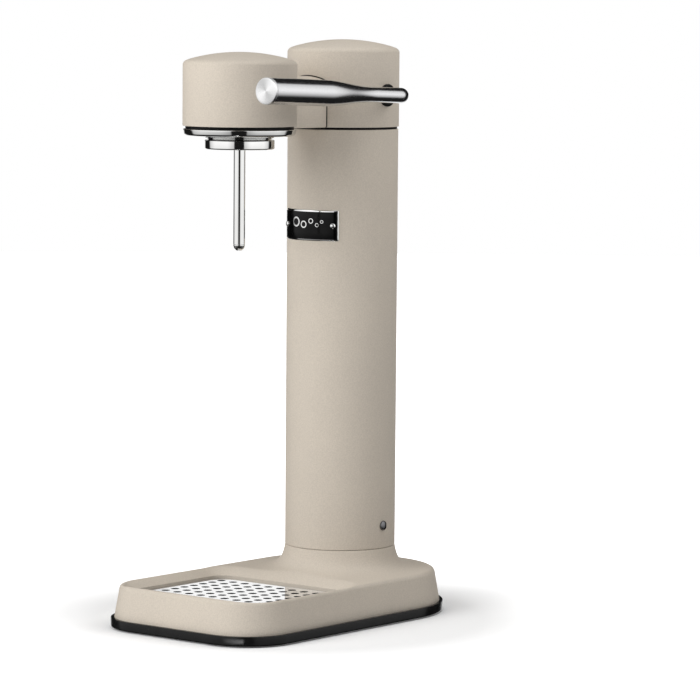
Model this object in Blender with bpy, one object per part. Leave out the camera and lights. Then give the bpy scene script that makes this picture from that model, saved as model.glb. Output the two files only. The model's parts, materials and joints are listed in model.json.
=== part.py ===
"""Soda carbonator, built as an assembly of separate pieces.

Every size below is in millimetres, and MM turns it into Blender's metres. The origin is the middle of the
footprint on the table, +Z is up, the front faces -Y and the lever is on the +X side.
"""

import math

import bmesh
import bpy
from mathutils import Matrix, Vector

MM = 0.001
GAP = 0.3  # clearance between pieces that touch

# Overall sizes
WIDTH = 153.0
DEPTH = 258.0
HEIGHT = 414.0
COLUMN_Y = 57.0  # the column's axis, also the middle of the base's round back
HEAD_Y = -57.0  # the head's axis, also the middle of the tray
BARREL_R = 40.0  # outer radius of the column and of the head
CAP_R = 40.4

# Base
CORNER_FRONT = 38.0
CORNER_BACK = 72.0
TRIM_TOP = 7.6
SHELL_BOTTOM = 7.9
SHELL_BOTTOM_INSET = 2.0
SHELL_SHOULDER = (5.4, 27.4)  # inset and height where the side turns into the lip
LIP_INSET = 10.0
LIP_TOP = 31.0
FLARE_TOP = 47.65
FLARE_END_R = 62.0
FLARE_SOFTNESS = 4.2  # the smaller, the tighter the curve beside the column
PLATE_INSET = 6.3

# Tray recess, centred under the head
RECESS_HALF_X = 59.5
RECESS_HALF_Y = 51.5
RECESS_CORNER = 13.0
RECESS_EDGE_Z = 25.6
RECESS_FLOOR_Z = 11.0
LIP_SLOPE = 9.0  # width of the slope from the recess up to the lip
GRILLE_TOP = 23.3
GRILLE_THICK = 1.2
HOLES_X, HOLES_Y = 10, 9
HOLE_PITCH_X, HOLE_PITCH_Y = 11.1, 10.05
HOLE_R = 3.0

# Column, cap and head
COLUMN_BOTTOM = FLARE_TOP + GAP
COLUMN_TOP = 349.9
COLUMN_WALL = 1.5
CAP_BOTTOM = 351.6
HEAD_BOTTOM = 353.9
HEAD_TOP = 405.4
DOME_R = 128.0
DOME_EDGE = 3.5
LID_WALL = 1.7
NECK_HALF_X = 15.8
NECK_TOP = 388.0
NECK_WALL = 1.8
NECK_CROWN_R = 36.0
NECK_CORNER_R = 4.5
NECK_SEAM = 0.9  # open seam between the neck and the cap

# Lever and what it drives
AXLE_Z = 374.5
LEVER_X = 57.8
LEVER_RISE = 0.0342  # climb per millimetre towards the handle's end
LEVER_END_Y = -97.0
ROD_R = 5.5
AXLE_R = 4.7
HANDLE_R = 9.2
BEND_R = 9.0
LEVER_SWING = 35.0
CAM_R = 12.0
CAM_THROW = 5.0
CAM_HALF_X = 6.0

# Under the head
NOZZLE_TIP_Z = 266.7
NOZZLE_R = 4.1
COLLAR_R = 24.4
COLLAR_BOTTOM = 337.7
FLANGE_R = 39.7
CHASSIS_Z = 357.0  # underside of the head's inner plate

# Screws that repeat
PLATE_SCREWS = ((45.0, -116.0), (-45.0, -116.0), (47.0, 97.0), (-47.0, 97.0))
FEET = {"front_left": (-54.0, -106.0), "front_right": (54.0, -106.0),
        "back_left": (-34.0, 106.0), "back_right": (34.0, 106.0)}
SIDE_SCREW_Z = 64.25
BADGE_Z = (270.3, 292.7)
BADGE_HALF_ANGLE = 36.0
BADGE_FRAME_R = (40.4, 40.9)
BADGE_PLATE_R = (41.2, 41.7)
BADGE_RIM = 1.3  # how much of the frame shows round the plate
RIVET_ANGLE = 30.0


# ---------------------------------------------------------------- helpers

def clear_scene():
    for obj in list(bpy.data.objects):
        bpy.data.objects.remove(obj, do_unlink=True)


def material(name, colour, roughness, metallic):
    mat = bpy.data.materials.new(name)
    mat.use_nodes = True
    shader = mat.node_tree.nodes["Principled BSDF"]
    shader.inputs["Base Color"].default_value = (*colour, 1.0)
    shader.inputs["Roughness"].default_value = roughness
    shader.inputs["Metallic"].default_value = metallic
    return mat


def make_object(name, bm, mat=None):
    """Turn a bmesh in millimetres into an object in metres, smooth with sharp edges kept."""
    bmesh.ops.remove_doubles(bm, verts=bm.verts, dist=0.001)
    bmesh.ops.recalc_face_normals(bm, faces=bm.faces)
    bmesh.ops.scale(bm, vec=(MM, MM, MM), verts=bm.verts)
    mesh = bpy.data.meshes.new(name)
    bm.to_mesh(mesh)
    bm.free()
    mesh.shade_smooth()
    mesh.set_sharp_from_angle(angle=math.radians(35.0))
    obj = bpy.data.objects.new(name, mesh)
    bpy.context.collection.objects.link(obj)
    if mat:
        mesh.materials.append(mat)
    return obj


def at(x, y, z=0.0):
    return Matrix.Translation((x, y, z))


ON_COLUMN = at(0.0, COLUMN_Y)
ON_HEAD = at(0.0, HEAD_Y)
ALONG_X = Matrix.Rotation(math.radians(90.0), 4, "Y")
ON_AXLE = at(0.0, COLUMN_Y, AXLE_Z) @ ALONG_X


def lathe(name, profile, mat=None, place=None, steps=32):
    """Spin a closed outline of (radius, height) points round Z, then place it."""
    bm = bmesh.new()
    verts = [bm.verts.new((r, 0.0, z)) for r, z in profile]
    edges = [bm.edges.new((a, b)) for a, b in zip(verts, verts[1:] + verts[:1])]
    on_axis = [e for e in edges if all(v.co.x < 1e-6 for v in e.verts)]
    for edge in on_axis:
        bm.edges.remove(edge)
    bmesh.ops.spin(bm, geom=bm.verts[:] + bm.edges[:], cent=(0, 0, 0), axis=(0, 0, 1),
                   angle=math.tau, steps=steps, use_merge=True)
    bmesh.ops.remove_doubles(bm, verts=bm.verts, dist=0.001)
    if place:
        bmesh.ops.transform(bm, matrix=place, verts=bm.verts)
    return make_object(name, bm, mat)


def rod(name, radius, z0, z1, mat=None, place=None, steps=16):
    return lathe(name, [(0.0, z0), (radius, z0), (radius, z1), (0.0, z1)], mat, place, steps)


def tube(name, inner, outer, z0, z1, mat=None, place=None, steps=32):
    return lathe(name, [(inner, z0), (outer, z0), (outer, z1), (inner, z1)], mat, place, steps)


def loft(name, rings, mat=None, closed=False):
    """Skin rings that have equal counts; cap both ends, or join the last ring to the first."""
    bm = bmesh.new()
    loops = [[bm.verts.new(p) for p in ring] for ring in rings]
    pairs = list(zip(loops, loops[1:]))
    if closed:
        pairs.append((loops[-1], loops[0]))
    for a, b in pairs:
        for i in range(len(a)):
            j = (i + 1) % len(a)
            bm.faces.new((a[i], a[j], b[j], b[i]))
    if not closed:
        bm.faces.new(loops[0])
        bm.faces.new(loops[-1])
    return make_object(name, bm, mat)


def block(name, low, high, mat=None):
    corners = [(low[0], low[1]), (high[0], low[1]), (high[0], high[1]), (low[0], high[1])]
    return loft(name, [[(x, y, z) for x, y in corners] for z in (low[2], high[2])], mat)


def sweep(name, path, radii, mat=None, sides=16):
    """Round tube along a path, with a radius at each point and flat ends."""
    rings = []
    side = Vector((0.0, 0.0, 1.0))
    for i, point in enumerate(path):
        ahead = path[min(i + 1, len(path) - 1)]
        behind = path[max(i - 1, 0)]
        along = (ahead - behind).normalized()
        side = (side - along * side.dot(along)).normalized()
        other = along.cross(side)
        turn = [math.tau * k / sides for k in range(sides)]
        rings.append([point + radii[i] * (math.cos(t) * side + math.sin(t) * other) for t in turn])
    return loft(name, rings, mat)


def modify(target, other, operation):
    step = target.modifiers.new(f"{operation.lower()}_{other.name}", "BOOLEAN")
    step.operation = operation
    step.solver = "EXACT"
    step.object = other
    other.hide_render = True
    other.display_type = "WIRE"


def cut(target, *cutters):
    for cutter in cutters:
        modify(target, cutter, "DIFFERENCE")


def join(target, *others):
    for other in others:
        modify(target, other, "UNION")


def hang(name, pieces, origin):
    """Parent pieces to an empty that marks their joint's axis, without moving them."""
    empty = bpy.data.objects.new(name, None)
    empty.location = [c * MM for c in origin]
    bpy.context.collection.objects.link(empty)
    for piece in pieces:
        piece.parent = empty
        piece.matrix_parent_inverse = Matrix.Translation(empty.location).inverted()
    return empty


def arc(cx, cy, radius, start, end, steps):
    """Points on an arc, angles in degrees."""
    angles = [math.radians(start + (end - start) * i / steps) for i in range(steps + 1)]
    return [(cx + radius * math.cos(t), cy + radius * math.sin(t)) for t in angles]


def rounded_outline(half_x, front, back, r_front, r_back, steps_front=5, steps_back=9):
    """Rounded rectangle in plan, anticlockwise from the front right corner."""
    points = arc(half_x - r_front, front + r_front, r_front, -90, 0, steps_front)
    points += arc(half_x - r_back, back - r_back, r_back, 0, 90, steps_back)
    points += arc(r_back - half_x, back - r_back, r_back, 90, 180, steps_back)
    points += arc(r_front - half_x, front + r_front, r_front, 180, 270, steps_front)
    return points


def base_ring(inset, z):
    outline = rounded_outline(WIDTH / 2 - inset, inset - DEPTH / 2, DEPTH / 2 - inset,
                              CORNER_FRONT - inset, CORNER_BACK - inset)
    return [(x, y, z) for x, y in outline]


def recess_ring(offset, z, steps=4):
    """The tray recess outline, grown outwards by offset."""
    corner = RECESS_CORNER + offset
    outline = rounded_outline(RECESS_HALF_X + offset, HEAD_Y - RECESS_HALF_Y - offset,
                              HEAD_Y + RECESS_HALF_Y + offset, corner, corner, steps, steps)
    return [(x, y, z) for x, y in outline]


def smoothstep(t):
    t = min(max(t, 0.0), 1.0)
    return t * t * (3.0 - 2.0 * t)


# ---------------------------------------------------------------- materials

def make_materials():
    looks = {
        "sand_coat": ((0.61, 0.55, 0.48), 0.45, 0.0),
        "black_plastic": ((0.02, 0.02, 0.02), 0.4, 0.0),
        "rubber": ((0.03, 0.03, 0.03), 0.8, 0.0),
        "polished_steel": ((0.78, 0.78, 0.77), 0.12, 1.0),
        "brushed_steel": ((0.62, 0.61, 0.6), 0.3, 1.0),
        "brass": ((0.62, 0.45, 0.2), 0.3, 1.0),
        "gloss_black": ((0.01, 0.01, 0.01), 0.12, 0.0),
        "cylinder_paint": ((0.45, 0.47, 0.5), 0.4, 0.3),
        "hose": ((0.6, 0.62, 0.62), 0.5, 0.0),
        "spring_steel": ((0.5, 0.5, 0.52), 0.3, 1.0),
    }
    return {name: material(name, *look) for name, look in looks.items()}


# ---------------------------------------------------------------- base

def flare_height(radius):
    """Height of the base's top beside the column, falling to the lip's height."""
    def fall(r):
        return (1.0 + (r - BARREL_R) / FLARE_SOFTNESS) ** -1.5
    end = fall(FLARE_END_R)
    share = (fall(radius) - end) / (1.0 - end)
    return LIP_TOP + (FLARE_TOP - LIP_TOP) * share


def shell_blank(mat):
    rings = [base_ring(SHELL_BOTTOM_INSET, SHELL_BOTTOM)]
    start, z0 = SHELL_SHOULDER
    for angle in (0, 30, 60, 90):
        t = math.radians(angle)
        inset = LIP_INSET - (LIP_INSET - start) * math.cos(t)
        rings.append(base_ring(inset, z0 + (LIP_TOP - z0) * math.sin(t)))
    return loft("base_shell", rings, mat)


def make_base_shell(mats):
    shell = shell_blank(mats["sand_coat"])
    radii = [BARREL_R, 40.6, 41.5, 43.0, 45.5, 49.0, 54.0, FLARE_END_R]
    profile = [(r, flare_height(r)) for r in radii[:-1]] + [(FLARE_END_R, LIP_TOP - 0.01)]
    flare = lathe("flare_form", profile + [(FLARE_END_R, 26.0), (30.0, 26.0), (30.0, FLARE_TOP)],
                  place=ON_COLUMN, steps=36)
    steps = [(0.0, RECESS_FLOOR_Z), (0.0, RECESS_EDGE_Z), (LIP_SLOPE, LIP_TOP + 0.15), (LIP_SLOPE + 2, 36.0)]
    recess = loft("recess_cutter", [recess_ring(s, z) for s, z in steps])
    cavity = loft("cavity_cutter", [base_ring(4.5, 7.0), base_ring(7.8, 23.4)])
    well = loft("well_form", [recess_ring(2.2, 8.8), recess_ring(2.2, 30.0)])
    cut(cavity, well)
    bore = rod("column_bore_cutter", BARREL_R - COLUMN_WALL, 5.0, 60.0, place=ON_COLUMN, steps=36)
    join(shell, flare)
    cut(shell, cavity, recess, bore)
    for i, (x, y) in enumerate(PLATE_SCREWS):
        join(shell, rod(f"boss_form_{i}", 4.0, 4.4, 24.0, place=at(x, y), steps=12))
        cut(shell, rod(f"boss_hole_cutter_{i}", 1.6, 4.0, 14.0, place=at(x, y), steps=8))
    return shell


def make_base_bottom(mats):
    rim = [(1.2, 0.5), (0.0, 1.8), (0.0, 7.0), (0.6, TRIM_TOP), (6.0, TRIM_TOP), (6.0, 0.5)]
    loft("base_trim", [base_ring(i, z) for i, z in rim], mats["black_plastic"], closed=True)
    plate = loft("base_plate", [base_ring(PLATE_INSET, 1.0), base_ring(PLATE_INSET, 4.0)], mats["black_plastic"])
    cut(plate, rod("cylinder_door_cutter", 33.5, 0.0, 5.0, place=ON_COLUMN, steps=32))
    for name, (x, y) in FEET.items():
        cut(plate, rod(f"pocket_cutter_{name}", 7.3, 0.5, 2.3, place=at(x, y)))
        rod(f"foot_{name}", 7.0, 0.0, 2.0, mats["rubber"], at(x, y))
    for i, (x, y) in enumerate(PLATE_SCREWS):
        hole = lathe(f"plate_hole_cutter_{i}", [(0.0, 0.5), (3.6, 0.5), (3.6, 2.6), (1.6, 2.6), (1.6, 5.0),
                                                (0.0, 5.0)], place=at(x, y), steps=12)
        cut(plate, hole)
        lathe(f"plate_screw_{i + 1}", [(0.0, 1.1), (3.2, 1.1), (3.2, 2.3), (1.3, 2.3), (1.3, 12.0),
                                       (0.0, 12.0)], mats["brushed_steel"], at(x, y), 12)


def make_tray(mats):
    outer, inner = -0.4, -2.2
    rim_z = GRILLE_TOP - GRILLE_THICK - GAP
    rings = [(outer, RECESS_FLOOR_Z + GAP), (outer, rim_z), (inner, rim_z), (inner, 13.0)]
    tray = loft("drip_tray", [recess_ring(s, z, 3) for s, z in rings], mats["black_plastic"])
    grille = loft("drip_grille", [recess_ring(-0.5, z, 3) for z in (GRILLE_TOP - GRILLE_THICK, GRILLE_TOP)],
                  mats["polished_steel"])
    cut(grille, hole_grid())
    hang("tray_lift", [tray], (0.0, HEAD_Y, RECESS_FLOOR_Z))
    hang("grille_lift", [grille], (0.0, HEAD_Y, GRILLE_TOP))


def hole_grid():
    """All drain holes of the grille as one cutter."""
    bm = bmesh.new()
    for i in range(HOLES_X):
        for j in range(HOLES_Y):
            x = (i - (HOLES_X - 1) / 2) * HOLE_PITCH_X
            y = HEAD_Y + (j - (HOLES_Y - 1) / 2) * HOLE_PITCH_Y
            bmesh.ops.create_cone(bm, cap_ends=True, segments=6, radius1=HOLE_R, radius2=HOLE_R, depth=6.0,
                                  matrix=at(x, y, GRILLE_TOP))
    return make_object("grille_hole_cutter", bm)


# ---------------------------------------------------------------- column and its cap

def make_column(mats):
    inner = BARREL_R - COLUMN_WALL
    column = tube("column_tube", inner, BARREL_R, COLUMN_BOTTOM, COLUMN_TOP, mats["sand_coat"], ON_COLUMN, 48)
    spigot = lathe("column_spigot", [(33.0, 4.3), (52.0, 4.3), (52.0, 7.3), (38.2, 7.3), (38.2, 78.0),
                                     (33.0, 78.0)], mats["black_plastic"], ON_COLUMN, 24)
    through = at(0.0, COLUMN_Y, SIDE_SCREW_Z) @ ALONG_X
    hole = rod("side_hole_cutter", 2.0, -50.0, 50.0, place=through, steps=12)
    cut(column, hole)
    cut(spigot, hole)
    head = [(0.0, 34.0), (1.7, 34.0), (1.7, 40.3), (3.45, 40.3), (3.45, 40.8), (2.2, 41.5), (0.0, 41.7)]
    lathe("column_screw_right", head, mats["brushed_steel"], through, 16)
    flipped = at(0.0, COLUMN_Y, SIDE_SCREW_Z) @ Matrix.Rotation(math.radians(-90.0), 4, "Y")
    lathe("column_screw_left", head, mats["brushed_steel"], flipped, 16)
    tube("cylinder_guide", 31.0, 38.1, 200.0, 208.0, mats["black_plastic"], ON_COLUMN, 24)
    return column


def dome_points(outer, apex, edge):
    """Outer surface of a domed lid, from its rim in to its apex."""
    flat_r = outer - edge
    drop = DOME_R - math.sqrt(DOME_R ** 2 - flat_r ** 2)
    corner_z = apex - drop
    points = [(flat_r + edge * math.cos(math.radians(a)), corner_z - edge * (1 - math.sin(math.radians(a))))
              for a in (0, 45)]
    for share in (1.0, 0.55, 0.0):
        r = flat_r * share
        points.append((r, apex - DOME_R + math.sqrt(DOME_R ** 2 - r ** 2)))
    return points


def lid(name, outer, apex, bottom, wall, mat, place):
    """Domed tube, open at the bottom."""
    outside = dome_points(outer, apex, DOME_EDGE)
    inside = dome_points(outer - wall, apex - wall, DOME_EDGE)
    profile = [(outer, bottom)] + outside + inside[::-1] + [(outer - wall, bottom)]
    return lathe(name, profile, mat, place, 36)


def neck_outline(inset, bottom=CAP_BOTTOM):
    """Upright sides, crowned top and small corners, as (x, z) points."""
    half = NECK_HALF_X - inset
    low = bottom + inset
    crown_r = NECK_CROWN_R - inset
    crown_z = NECK_TOP - NECK_CROWN_R
    corner = NECK_CORNER_R - inset
    meet_x = half - corner
    meet_z = crown_z + math.sqrt((crown_r - corner) ** 2 - meet_x ** 2)
    tilt = math.degrees(math.atan2(meet_z - crown_z, meet_x))
    right = [(half - 1.0, low), (half, low + 1.0)] + arc(meet_x, meet_z, corner, 0, tilt, 3)
    crown = arc(0.0, crown_z, crown_r, tilt, 180 - tilt, 8)[1:-1]
    left = [(-x, z) for x, z in reversed(right)]
    return right + crown + left


def make_neck(mats):
    def ring(inset, y):
        return [(x, y, z) for x, z in neck_outline(inset)]
    rings = [ring(0.0, -32.0), ring(0.0, 32.0), ring(NECK_WALL, 32.0), ring(NECK_WALL, -32.0)]
    neck = loft("neck_bridge", rings, mats["sand_coat"], closed=True)
    cut(neck, rod("head_side_cutter", BARREL_R + GAP, 340.0, 400.0, place=ON_HEAD, steps=36),
        rod("cap_side_cutter", CAP_R + NECK_SEAM, 340.0, 400.0, place=ON_COLUMN, steps=36))


def make_covers(mats):
    cap = lid("column_cap", CAP_R, HEIGHT, CAP_BOTTOM, LID_WALL, mats["sand_coat"], ON_COLUMN)
    head = lid("head_shell", BARREL_R, HEAD_TOP, HEAD_BOTTOM, LID_WALL, mats["sand_coat"], ON_HEAD)
    window = neck_outline(NECK_WALL + 0.4, HEAD_BOTTOM)
    cut(cap, loft("cap_window_cutter", [[(x, y, z) for x, z in window] for y in (10.0, 35.0)]),
        rod("bushing_hole_cutter", 8.3, 30.0, 50.0, place=ON_AXLE, steps=20))
    cut(head, loft("head_window_cutter", [[(x, y, z) for x, z in window] for y in (-35.0, -10.0)]))


# ---------------------------------------------------------------- gas side

def make_cylinder(mats):
    outside = [(0.0, 6.0), (24.0, 6.0), (28.3, 7.8), (30.0, 12.0), (30.0, 288.0), (28.0, 298.0), (22.5, 307.0),
               (14.0, 313.0), (14.0, 322.0)]
    inside = [(9.3, 322.0), (9.3, 311.5), (19.5, 304.5), (25.5, 296.0), (27.3, 288.0), (27.3, 12.0),
              (24.0, 9.0), (0.0, 9.0)]
    bottle = lathe("gas_cylinder", outside + inside, mats["cylinder_paint"], ON_COLUMN, 24)
    valve = lathe("cylinder_valve", [(2.3, 316.0), (9.0, 316.0), (9.0, 322.3), (13.0, 322.3), (13.0, 331.0),
                                     (10.2, 331.0), (10.2, 343.0), (2.3, 343.0)], mats["brass"], ON_COLUMN, 16)
    pin = rod("cylinder_valve_pin", 2.0, 318.0, 345.5, mats["brushed_steel"], ON_COLUMN, 12)
    hang("cylinder_slide", [bottle, valve], (0.0, COLUMN_Y, 322.0))
    hang("valve_pin_slide", [pin], (0.0, COLUMN_Y, 345.5))


def make_valve(mats):
    chassis = lathe("top_chassis", [(19.4, 343.0), (38.1, 343.0), (38.1, 356.0), (34.0, 356.0), (34.0, 347.0),
                                    (19.4, 347.0)], mats["black_plastic"], ON_COLUMN, 32)
    for side, word in ((1.0, "right"), (-1.0, "left")):
        x0, x1 = sorted((side * 27.0, side * 31.0))
        join(chassis, block(f"ear_form_{word}", (x0, 48.0, 346.0), (x1, 66.0, AXLE_Z)))
        join(chassis, rod(f"ear_top_form_{word}", 9.0, x0 + 0.02, x1 - 0.02, place=ON_AXLE, steps=24))
    cut(chassis, rod("ear_hole_cutter", 8.3, -40.0, 40.0, place=ON_AXLE, steps=24))
    body = lathe("valve_block", [(10.6, 336.0), (19.0, 336.0), (19.0, 347.3), (26.5, 347.3), (26.5, 350.3),
                                 (19.0, 350.3), (19.0, 357.5), (7.0, 357.5), (7.0, 352.0), (3.3, 352.0),
                                 (3.3, 345.4), (10.6, 345.4)], mats["brass"], ON_COLUMN, 16)
    cut(body, rod("gas_port_cutter", 1.6, 353.0, 359.0, place=at(-13.0, 50.0), steps=8))
    for i, y in enumerate((COLUMN_Y - 22.8, COLUMN_Y + 22.8)):
        hole = rod(f"valve_hole_cutter_{i}", 1.6, 344.0, 352.0, place=at(0.0, y), steps=8)
        cut(body, hole)
        cut(chassis, hole)
        lathe(f"valve_screw_{i + 1}", [(0.0, 344.5), (1.3, 344.5), (1.3, 350.6), (2.6, 350.6), (2.6, 353.0),
                                       (0.0, 353.0)], mats["brushed_steel"], at(0.0, y), 10)
    for i, x in enumerate((-6.0, 6.0)):
        cut(chassis, rod(f"arm_hole_cutter_{i}", 1.6, 349.0, 357.0, place=at(x, 21.5), steps=8))
    tube("cylinder_seal", 4.0, 10.2, 343.3, 345.1, mats["rubber"], ON_COLUMN, 16)


def make_push_pin(mats):
    pin = lathe("push_pin", [(0.0, 345.8), (2.0, 345.8), (2.0, 350.0), (3.0, 350.0), (3.0, 361.2), (6.5, 361.2),
                             (6.5, 363.7), (0.0, 363.7)], mats["brushed_steel"], ON_COLUMN, 16)
    hang("push_pin_slide", [pin], (0.0, COLUMN_Y, 363.7))
    coil("return_spring", 5.0, 0.5, 352.4, 360.8, 3.5, mats["spring_steel"], COLUMN_Y)


def coil(name, radius, wire_r, low, high, turns, mat, y):
    """Compression spring between two heights."""
    count = int(turns * 8)
    path = []
    for i in range(count + 1):
        t = i / count
        angle = math.tau * turns * t
        z = low + wire_r + (high - low - 2 * wire_r) * t
        path.append(Vector((radius * math.cos(angle), y + radius * math.sin(angle), z)))
    sweep(name, path, [wire_r] * len(path), mat, 5)


def smooth_route(points, per_span=3):
    """Points read from a Catmull-Rom curve through the route."""
    knots = [points[0]] + points + [points[-1]]
    route = []
    for a, b, c, d in zip(knots, knots[1:], knots[2:], knots[3:]):
        for i in range(per_span):
            t = i / per_span
            route.append(0.5 * (2 * b + (c - a) * t + (2 * a - 5 * b + 4 * c - d) * t ** 2
                                + (3 * b - a - 3 * c + d) * t ** 3))
    return route + [points[-1]]


def make_hose(mats):
    route = [Vector(p) for p in ((-13.0, 50.0, 358.1), (-13.0, 50.0, 363.0), (-12.0, 42.0, 369.0),
                                 (-8.0, 25.0, 370.0), (-3.0, 5.0, 370.0), (0.0, -20.0, 369.0),
                                 (0.0, -37.0, 368.7), (0.0, -47.7, 368.7))]
    points = smooth_route(route)
    curve = bpy.data.curves.new("gas_hose", "CURVE")
    curve.dimensions = "3D"
    curve.bevel_depth = 2.5 * MM
    curve.bevel_resolution = 2
    curve.use_fill_caps = True
    spline = curve.splines.new("POLY")
    spline.points.add(len(points) - 1)
    for knot, point in zip(spline.points, points):
        knot.co = (*(point * MM), 1.0)
    curve.materials.append(mats["hose"])
    hose = bpy.data.objects.new("gas_hose", curve)
    bpy.context.collection.objects.link(hose)


# ---------------------------------------------------------------- head

def make_head_inside(mats):
    plate = tube("head_chassis", 20.6, 38.0, CHASSIS_Z, CHASSIS_Z + 3.0, mats["brushed_steel"], ON_HEAD, 32)
    join(plate, block("arm_form", (-11.0, -30.0, CHASSIS_Z), (11.0, 26.0, CHASSIS_Z + 3.0)))
    flange = lathe("head_flange", [(22.4, 345.4), (30.0, 345.9), (FLANGE_R - 1.5, 347.1),
                                   (FLANGE_R - 0.5, 348.0), (FLANGE_R, 351.3), (FLANGE_R - 0.4, 351.8),
                                   (37.5, 351.8), (37.5, 356.7), (30.0, 356.7), (30.0, 352.2), (22.4, 352.2)],
                   mats["polished_steel"], ON_HEAD, 32)
    for i, angle in enumerate((-90.0, 30.0, 150.0)):
        t = math.radians(angle)
        spot = at(33.7 * math.cos(t), HEAD_Y + 33.7 * math.sin(t))
        hole = rod(f"head_hole_cutter_{i}", 1.6, 350.0, 364.0, place=spot, steps=8)
        cut(plate, hole)
        cut(flange, hole)
        small_screw(f"head_screw_{i + 1}", spot, 350.5, mats["brushed_steel"])
    for i, x in enumerate((-6.0, 6.0)):
        cut(plate, rod(f"arm_plate_cutter_{i}", 1.6, 355.0, 364.0, place=at(x, 21.5), steps=8))
        small_screw(f"arm_screw_{i + 1}", at(x, 21.5), 349.5, mats["brushed_steel"])


def small_screw(name, place, tip, mat):
    head = CHASSIS_Z + 3.0 + GAP
    lathe(name, [(0.0, tip), (1.3, tip), (1.3, head), (2.6, head), (2.6, head + 2.0), (0.0, head + 2.0)],
          mat, place, 10)


def make_bottle_seat(mats):
    lathe("bottle_collar", [(20.6, COLLAR_BOTTOM), (23.9, COLLAR_BOTTOM), (COLLAR_R, 338.3), (COLLAR_R, 343.7),
                            (23.8, 344.3), (22.0, 344.9), (22.0, 356.7), (20.6, 356.7)],
          mats["polished_steel"], ON_HEAD, 30)
    lathe("bottle_socket", [(18.2, 338.6), (20.3, 338.6), (20.3, 360.3), (24.0, 360.3), (24.0, 362.3),
                            (18.2, 362.3)], mats["black_plastic"], ON_HEAD, 24)
    tube("bottle_seal", 5.2, 17.9, 357.0, 361.9, mats["rubber"], ON_HEAD, 24)
    holder = lathe("nozzle_holder", [(4.4, 362.6), (24.0, 362.6), (24.0, 365.6), (9.0, 365.6), (9.0, 374.0),
                                     (1.8, 374.0), (1.8, 371.0), (4.4, 371.0)], mats["brass"], ON_HEAD, 16)
    port = at(0.0, HEAD_Y, 368.7) @ Matrix.Rotation(math.radians(-90.0), 4, "X")
    cut(holder, rod("hose_port_cutter", 1.6, 3.0, 12.0, place=port, steps=8))
    tube("nozzle_tube", 2.6, NOZZLE_R, NOZZLE_TIP_Z + 4.3, 365.0, mats["polished_steel"], ON_HEAD, 16)
    lathe("nozzle_tip", [(0.6, NOZZLE_TIP_Z), (2.0, NOZZLE_TIP_Z), (3.4, NOZZLE_TIP_Z + 1.4),
                         (NOZZLE_R, NOZZLE_TIP_Z + 4.0), (0.6, NOZZLE_TIP_Z + 4.0)],
          mats["polished_steel"], ON_HEAD, 16)


def make_relief_valve(mats):
    lathe("relief_bonnet", [(6.5, 374.3), (8.7, 374.3), (8.7, 390.0), (1.5, 390.0), (1.5, 388.0), (6.5, 388.0)],
          mats["brass"], ON_HEAD, 16)
    poppet = rod("relief_poppet", 3.5, 374.3, 378.3, mats["rubber"], ON_HEAD, 12)
    hang("relief_slide", [poppet], (0.0, HEAD_Y, 374.3))
    coil("relief_spring", 2.6, 0.4, 378.6, 387.7, 4.0, mats["spring_steel"], HEAD_Y)


# ---------------------------------------------------------------- lever

def rod_height(y):
    return AXLE_Z + LEVER_RISE * (COLUMN_Y - y)


def lever_path():
    """From the stub in the bushing, round the bend and along to the handle's end."""
    start = LEVER_X - BEND_R
    flat = [(42.6, COLUMN_Y), (47.0, COLUMN_Y)]
    flat += [(x, y) for x, y in arc(start, COLUMN_Y - BEND_R, BEND_R, 90, 0, 5)]
    ys = [40.0, 18.0, 12.0, 5.0, -2.0, -9.0, -16.0, -23.0, -29.0, -34.0, -60.0, LEVER_END_Y + 2.3]
    flat += [(LEVER_X, y) for y in ys]
    return [Vector((x, y, rod_height(y))) for x, y in flat]


def lever_radius(y):
    """Thin rod that swells smoothly into the handle."""
    return HANDLE_R - (HANDLE_R - ROD_R) * smoothstep((y + 34.0) / 52.0)


def make_lever(mats):
    path = lever_path()
    steel = mats["brushed_steel"]
    lever = sweep("lever", path, [lever_radius(p.y) for p in path], steel, 16)
    ends = [(LEVER_END_Y + 2.0, HANDLE_R), (LEVER_END_Y + 0.4, HANDLE_R), (LEVER_END_Y, HANDLE_R - 0.4)]
    cap_path = [Vector((LEVER_X, y, rod_height(y))) for y, _ in ends]
    end_cap = sweep("handle_end_cap", cap_path, [r for _, r in ends], steel, 16)
    axle = rod("lever_axle", AXLE_R, -33.0, 42.3, steel, ON_AXLE, 16)
    cam, screw = make_cam(mats)
    hang("lever_pivot", [lever, end_cap, axle, cam, screw], (0.0, COLUMN_Y, AXLE_Z))
    lathe("axle_bushing_right", [(5.0, 25.0), (8.0, 25.0), (8.0, 41.5), (7.2, 42.3), (5.0, 42.3)],
          mats["black_plastic"], ON_AXLE, 20)
    tube("axle_bushing_left", 5.0, 8.0, -34.0, -25.0, mats["black_plastic"], ON_AXLE, 20)


def make_cam(mats):
    """Eccentric disc; half of the lever's swing carries its centre past the horizontal."""
    tilt = math.radians(LEVER_SWING / 2)
    centre = at(0.0, COLUMN_Y - CAM_THROW * math.cos(tilt), AXLE_Z + CAM_THROW * math.sin(tilt)) @ ALONG_X
    cam = rod("cam", CAM_R, -CAM_HALF_X, CAM_HALF_X, mats["brushed_steel"], centre, 32)
    radial = at(0.0, COLUMN_Y, AXLE_Z) @ Matrix.Rotation(math.radians(90.0) - tilt, 4, "X")
    cut(cam, rod("axle_hole_cutter", AXLE_R + GAP, -10.0, 10.0, place=ON_AXLE, steps=16),
        rod("set_screw_cutter", 2.3, 3.0, 20.0, place=radial, steps=10))
    screw = rod("cam_set_screw", 2.0, AXLE_R + GAP, 14.0, mats["brushed_steel"], radial, 10)
    return cam, screw


# ---------------------------------------------------------------- badge

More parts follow.
